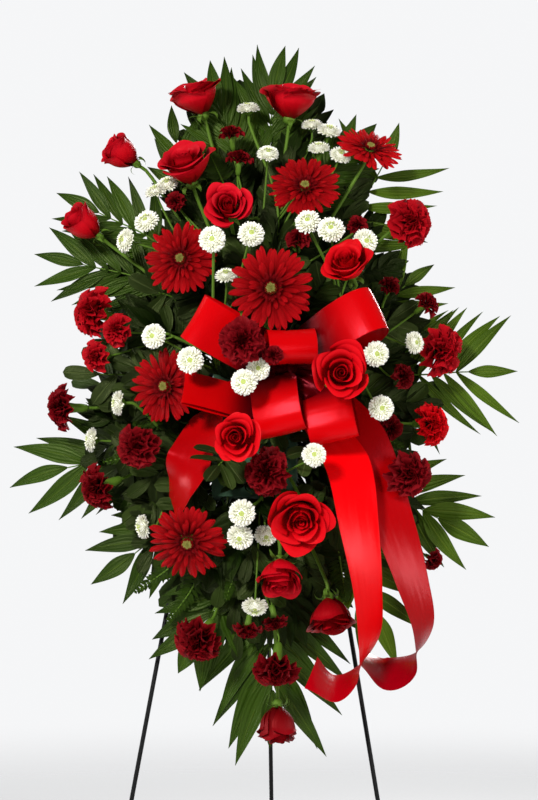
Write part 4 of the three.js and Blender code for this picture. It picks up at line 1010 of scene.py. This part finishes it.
def makeFoliage(name, foot, fronds, leaf, finishes, slot, pairs=True):
    chance = chanceFor(name)
    footPoint = seen(*foot)
    down = (rootFrom(footPoint, foam["foliageAim"])[0] - footPoint).normalized()
    foliage = Surface()
    tube(foliage, stemRoute([footPoint], foam["foliageAim"]), stems["frond"], 1, 8)
    for i, (path, leaves, leafFrom, length, *own) in enumerate(fronds):
        line = [footPoint + down * stems["branchesApart"] * i] + [seen(*p) for p in path]
        leafyStem(foliage, line, leaves, leafFrom, length, leaf | dict(*own), chance, pairs)
    foliage.piece(name + "_fronds", finishes, slot, name)


for name, (foot, own, fronds) in palms.items():
    green = palmGreen if name in ("palm_right", "palm_lower_right") else palmDeep
    makeFoliage(name, foot, fronds, palmLeaf | own, [green, stemGreen], "palm")
for name, (foot, own, fronds) in broadLeaves.items():
    makeFoliage(name, foot, fronds, broadLeaf | own, [broadGreen, stemGreen], "leaf", pairs=False)
for name, (foot, own, fronds) in ferns.items():
    makeFoliage(name, foot, fronds, fernLeaf | own, [palmDeep, stemGreen], "leaf")
print("foliage made")

# Ribbon: satin, gathered into the knot, with painted shade near the knot. A loop's "lit" below 1 keeps that
# painted shade farther from the knot
ribbon = {
    "width": 68, "gathered": 0.22, "reach": 0.3, "pleats": 3, "pleatDepth": 5.0, "across": 15,
    "loopSteps": 44, "streamerSteps": 90,
}
knot = seen(285, 368, 212)
bowLoops = {
    "upper_left": {"out": (-0.87, 0.2, 0.5), "across": (0.5, 0.1, 0.85), "length": 146, "bulge": 27},
    "centre": {
        "out": (0.14, 0.62, 0.32), "across": (1, 0, 0.15), "length": 72, "bulge": 34, "foot": (0, 0, 5),
        "lit": 1.2,
    },
    "upper_right": {
        "out": (0.85, 0.3, 0.53), "across": (-0.42, -0.4, 0.9), "length": 158, "bulge": 36, "lit": 0.82,
    },
    "left": {
        "out": (-0.95, 0.2, 0.26), "across": (0.1, -0.78, 0.62), "length": 146, "bulge": 5,
        "foot": (0, -6, -66),
    },
    "low": {
        "out": (0.16, 0.4, -0.9), "across": (0.93, 0.1, 0.34), "length": 118, "bulge": 30,
        "foot": (-19, 0, 19),
    },
    "lower_right": {
        "out": (0.18, 0.36, -0.92), "across": (0.98, 0.1, 0.06), "length": 108, "bulge": 28,
        "foot": (52, 0, 2),
    },
}


def ribbonSheet(name, stations, node, finish=satin):
    points, alongs, opened, travelled = [], [], [], 0.0
    u = np.linspace(-1, 1, ribbon["across"])
    for i, (point, across, half, gather, paintedShadeFromKnot) in enumerate(stations):
        before, after = stations[max(i - 1, 0)][0], stations[min(i + 1, len(stations) - 1)][0]
        along = (after - before).normalized()
        side = (across - along * across.dot(along)).normalized()
        normal = side.cross(along)
        pleat = ribbon["pleatDepth"] * (1 - gather) * np.cos(u * math.pi * ribbon["pleats"])
        cup = 1.5 * gather * (1 - u ** 2)
        if i:
            travelled += (point - stations[i - 1][0]).length
        if i % 3 == 0:
            keepClear.append((point, half))
        points.append(np.array(point) + np.outer(u * half, side) + np.outer(pleat + cup, normal))
        alongs.append(travelled / 1000)
        # opened carries the share of painted shade from the knot
        opened.append(paintedShadeFromKnot)
    sheet = Surface()
    sheet.grid(np.array(points), u[None, :], np.array(alongs)[:, None], np.array(opened)[:, None])
    made = sheet.piece(name, [finish], "ribbon", node)


def loopStations(out, across, length, bulge, foot=(0, 0, 0), lit=1):
    away, side = toward(out), toward(across)
    side = (side - away * side.dot(away)).normalized()
    lift = away.cross(side).normalized()
    if lift.y > 0:
        lift.negate()
    stations = []
    for i in range(ribbon["loopSteps"] + 1):
        angle = 2 * math.pi * i / ribbon["loopSteps"]
        reach = (1 - math.cos(angle)) / 2
        gather = smooth(reach, 0, ribbon["reach"])
        point = knot + away * (4 + length * reach) - lift * math.sin(angle) * bulge * (0.25 + 0.75 * reach)
        point = point + Vector((foot[0], -foot[1], foot[2])) * float(smooth(reach, 0, 0.35))
        half = ribbon["width"] / 2 * (ribbon["gathered"] + (1 - ribbon["gathered"]) * gather)
        # The last mark sets the painted shade: dark at the knot, full colour farther out, sooner where lit is
        # above 1
        stations.append((point, side, half, gather, reach * lit))
    return stations


for name, loop in bowLoops.items():
    ribbonSheet(f"bow_loop_{name}", loopStations(**loop), "bow_loops")

# Streamers: place, the way across, and the share of the full width, from the knot to the cut end
streamers = {
    "bow_streamer_front": [
        ((287, 377, 206), (1, 0, 0), 0.3),
        ((318, 420, 182), (1, -0.2, 0.3), 0.7),
        ((347, 462, 226), (0.9, -0.4, 0.2), 1),
        ((359, 525, 252), (0.75, -0.6, 0.12), 1),
        ((368, 590, 254), (0.55, -0.8, 0.1), 1),
        ((369, 640, 250), (0.4, -0.8, 0.3), 1),
        ((357, 674, 240), (0.05, -0.94, 0.34), 1),
        ((335, 688, 236), (-0.1, -0.88, 0.46), 1),
        ((311, 672, 244), (-0.05, -0.68, 0.73), 1),
    ],
    "bow_streamer_back": [
        ((294, 367, 200), (0.3, 0, 1), 0.3),
        ((334, 402, 164), (0.5, -0.2, 0.8), 0.7),
        ((364, 440, 186), (0.9, -0.3, 0.4), 1),
        ((391, 515, 200), (0.8, -0.5, 0.25), 1),
        ((412, 580, 202), (0.6, -0.7, 0.15), 1),
        ((423, 628, 200), (0.4, -0.85, 0.2), 1),
        ((412, 662, 196), (0.1, -0.84, 0.5), 1),
        ((387, 673, 198), (-0.05, -0.8, 0.6), 1),
        ((362, 657, 204), (-0.15, -0.9, 0.35), 1),
    ],
    "bow_tail_left": [
        ((278, 370, 203), (0.2, 0, 1), 0.3),
        ((238, 395, 186), (0.6, 0.1, 0.9), 0.7),
        ((206, 425, 190), (0.9, 0.3, 0.4), 1),
        ((189, 458, 208), (1, 0.25, 0.2), 1),
        ((179, 488, 204), (0.7, 0.9, 0.1), 1),
        ((172, 508, 190), (0.4, 1, 0), 0.9),
    ],
}
# The same satin painted lighter for the front streamer and darker for the back streamer and tail: painted
# light and painted shade
streamerFinish = {
    "bow_streamer_front": satinPaintedLight, "bow_streamer_back": satinPaintedShade, "bow_tail_left": satinPaintedShade,
}
for name, marks in streamers.items():
    line = [seen(*at) for at, _, _ in marks]
    sides = [toward(across) for _, across, _ in marks]
    widths = [share for _, _, share in marks]
    stations = []
    for t in np.linspace(0.0, 1.0, ribbon["streamerSteps"]):
        share = float(np.interp(t * (len(marks) - 1), range(len(marks)), widths))
        half, gather = ribbon["width"] / 2 * share, smooth(share, 0.3, 1)
        # The last mark: painted shade near the knot, over the first quarter of the streamer
        stations.append((throughPoints(line, t), throughPoints(sides, t), half, gather, min(1, t * 4)))
    ribbonSheet(name + "_ribbon", stations, name, streamerFinish[name])

# The knot: pleated bands wound round the loops' feet, on a wire pick. Its satin is painted in full shade
bands = {"count": 3, "radius": 17, "half": 12, "apart": 5, "lean": 80, "turn": 14}
knotBand = Surface()
angles, v = around(40)[None, :], rows(9, -1, 1)
for k in range(bands["count"]):
    radius = bands["radius"] + 1.5 * np.cos(v * 6) - 3 * v ** 2 + 0.8 * k
    points = turned(radius, angles, v * bands["half"] + (k - 1) * bands["apart"])
    lean = math.radians(bands["lean"] + bands["turn"] * k)
    band = Surface()
    # 0.3 as the last mark puts the knot's satin all in painted shade
    band.grid(points, v, angles / 100, 0.3, closed=True)
    knotBand.add(band, Matrix.Translation(knot) @ Matrix.Rotation(lean, 4, "Y"))
tube(knotBand, stemRoute([knot, knot + Vector((-6, 40, 0))]), 2.0, 1, 8)
knotBand.piece("bow_knot", [satin, wireBlack], "ribbon", "bow_loops")
print("bow made")

# Filler: dark leafy stems between and behind the blooms; the broad and dark fillers' near black is painted
# shade. deep: how far before the legs they may end
coarse = {"grid": (5, 9), "growsRound": True}
fillers = {
    "filler_broad": {
        "stems": 84, "leaves": 8, "length": 44, "deep": (45, 215), "leaf": broadLeaf | coarse,
        "green": insidePaintedShadeGreen,
    },
    "filler_dark": {
        "stems": 104, "leaves": 9, "length": 56, "deep": (20, 165), "leaf": palmLeaf | coarse,
        "green": paintedShadeGreen,
    },
    "filler_back": {
        "stems": 72, "leaves": 7, "length": 62, "deep": (-4, 26), "leaf": broadLeaf | coarse,
        "green": backGreen,
    },
}
fillerMiddle = (262, 395)
fillerEdge = [  # the leafy mass in the picture, clockwise from its top
    (262, 85), (320, 100), (360, 150), (392, 215), (412, 300), (430, 370), (415, 450), (405, 530), (360, 590),
    (325, 630), (275, 660), (235, 640), (190, 600), (150, 560), (112, 495), (90, 430), (100, 345), (105, 255),
    (145, 190), (200, 120),
]


def fillerTip(chance, deep):
    i = int(chance.integers(len(fillerEdge)))
    first, second, along = fillerEdge[i], fillerEdge[(i + 1) % len(fillerEdge)], chance.uniform()
    share = math.sqrt(chance.uniform(0.02, 0.95))
    column, row = (
        middle + (a + (b - a) * along - middle) * share for middle, a, b in zip(fillerMiddle, first, second)
    )
    forward = legsForward(heightAt(row)) + 12
    return seen(column, row, forward + (1 - share ** 2) * chance.uniform(*deep))


for name, form in fillers.items():
    chance = chanceFor(name)
    filler = Surface()
    for _ in range(form["stems"]):
        tip = fillerTip(chance, form["deep"])
        back, shift = chance.uniform(-10, 15), (chance.uniform(-20, 20), chance.uniform(-40, 40))
        outside, inside = rootFrom(tip, back, shift)
        bow = outside.lerp(tip, 0.55) + Vector(chance.normal(0, 9, 3))
        route, length = [inside, outside, bow, tip], form["length"] * chance.uniform(0.8, 1.15)
        leafyStem(filler, route, form["leaves"], 0.4, length, form["leaf"], chance, steps=12)
    filler.piece(name, [form["green"], paintedShadeGreen], "leaf")
print("filler made")


def wirePiece(name, route, node, body=frontBody, eye=None):
    wire = Surface()
    tube(wire, route, easel["radius"], 0, easel["sides"])
    if eye:
        wire.add(*eye)
    for points in wire.points:  # cut off level with the floor
        points[:, 2] = np.maximum(points[:, 2], 0)
    wire.piece(name, [wireBlack], "wire", node, body)


def legAt(side, height):
    foot = Vector((side * easel["footAside"], -easel["footForward"], 0))
    top = Vector((side * easel["halfTop"], 0, easel["hinge"]))
    return top.lerp(foot, 1 - height / easel["hinge"])


for side, word in ((-1, "left"), (1, "right")):
    route = [legAt(side, height) for height in (easel["hinge"], easel["hinge"] - 1, 1000, 500, 2, -6)]
    wirePiece(f"easel_leg_{word}_wire", route, f"easel_leg_{word}")
half = easel["barHalf"]
route = [(x, 0, easel["bar"]) for x in (-half, 0.6 - half, half - 0.6, half)]
wirePiece("easel_hinge_bar_wire", route, "easel_hinge_bar")
for word, height in easel["rails"].items():
    ends = [legAt(side, height) - Vector((side * easel["railInside"], 0, 0)) for side in (-1, 1)]
    wirePiece(f"easel_{word}_rail_wire", [ends[0], ends[0].lerp(ends[1], 0.5), ends[1]], f"easel_{word}_rail")

# The rear leg, with the eye that turns on the hinge bar
hinge = Vector((0, 0, easel["bar"]))
rearFoot = Vector((0, easel["rearFoot"], 0))
down = (rearFoot - hinge).normalized()
route = [hinge + down * d for d in (6.5, 7.5, 400, 900, 1380)] + [rearFoot + down * 5]
bend = np.linspace(0, 2 * math.pi, 17)[:, None]
thick, wide = easel["eyeThick"]
ring = turned(easel["eye"] + thick * np.cos(bend), around(36)[None, :], wide * np.sin(bend))
eye = Surface()
eye.grid(ring, 0.5, 0.5, 0.5, closed=True)
eyeTurn = Matrix.Translation(hinge) @ Matrix.Rotation(math.pi / 2, 4, "Y")
wirePiece("easel_rear_leg_wire", route, "easel_rear_leg", rearBody, (eye, eyeTurn))

for name, finish in (("foam_block", foamWet), ("foam_tray", trayPlastic)):
    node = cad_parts[name]
    node.data.materials.clear()
    node.data.materials.append(finish)
print("easel and foam made")

# Floor and light, in metres. The sky's brightness: as light, and as the camera sees it
studio = {
    "floorHalf": 7, "fade": (1.2, 4.5), "sky": (0.9, 0.905, 0.915), "bright": (0.22, 1.02),
    "lit": (0, -0.1, 1.0),
}
half = studio["floorHalf"]
corners = [(x * half, y * half, 0) for x, y in ((-1, -1), (1, -1), (1, 1), (-1, 1))]
floorMesh = bpy.data.meshes.new("floor")
floorMesh.from_pydata(corners, [], [(0, 1, 2, 3)])
floor = addObject("floor", floorMesh)
floorFinish = Finish("pale_floor", Roughness=0.6)
place = floorFinish.node("ShaderNodeTexCoord", output="Object")
distance = floorFinish.node("ShaderNodeVectorMath", {"operation": "LENGTH"}, {0: place}, output="Value")
fade = floorFinish.ease(distance, *studio["fade"])
floorFinish.colour(floorFinish.mix(floorFinish.grain(3), (0.8, 0.8, 0.8), (0.83, 0.83, 0.83)))
clear = floorFinish.node("ShaderNodeBsdfTransparent")
solidLook = Value(floorFinish, floorFinish.shader.outputs[0])
blendOut = floorFinish.node("ShaderNodeMixShader", inputs={0: fade, 1: solidLook, 2: clear})
floorFinish.tree.links.new(blendOut.socket, floorFinish.tree.nodes["Material Output"].inputs["Surface"])
floorMesh.materials.append(floorFinish.material)

world = bpy.data.worlds.new("studio")
bpy.context.scene.world = world
world.use_nodes = True
background = world.node_tree.nodes["Background"]
background.inputs[0].default_value = (*studio["sky"], 1)
path = world.node_tree.nodes.new("ShaderNodeLightPath")
strength = world.node_tree.nodes.new("ShaderNodeMapRange")
strength.inputs[3].default_value, strength.inputs[4].default_value = studio["bright"]
world.node_tree.links.new(path.outputs["Is Camera Ray"], strength.inputs[0])
world.node_tree.links.new(strength.outputs[0], background.inputs[1])


def softbox(name, place, size, power):
    lamp = bpy.data.lights.new(name, "AREA")
    lamp.shape, lamp.size, lamp.energy = "DISK", size, power
    box = addObject(name, lamp)
    box.location = place
    box.rotation_euler = (Vector(studio["lit"]) - Vector(place)).to_track_quat("-Z", "Y").to_euler()


softbox("key", (-1.1, -3.0, 2.5), 0.6, 120)
softbox("fill", (2.0, -3.0, 1.2), 1.6, 38)
softbox("left", (-3.4, -0.3, 1.5), 1.4, 36)
softbox("right", (3.4, -0.3, 1.5), 1.4, 36)
softbox("rim", (0.8, 2.6, 2.2), 1.6, 80)
print("stage set")
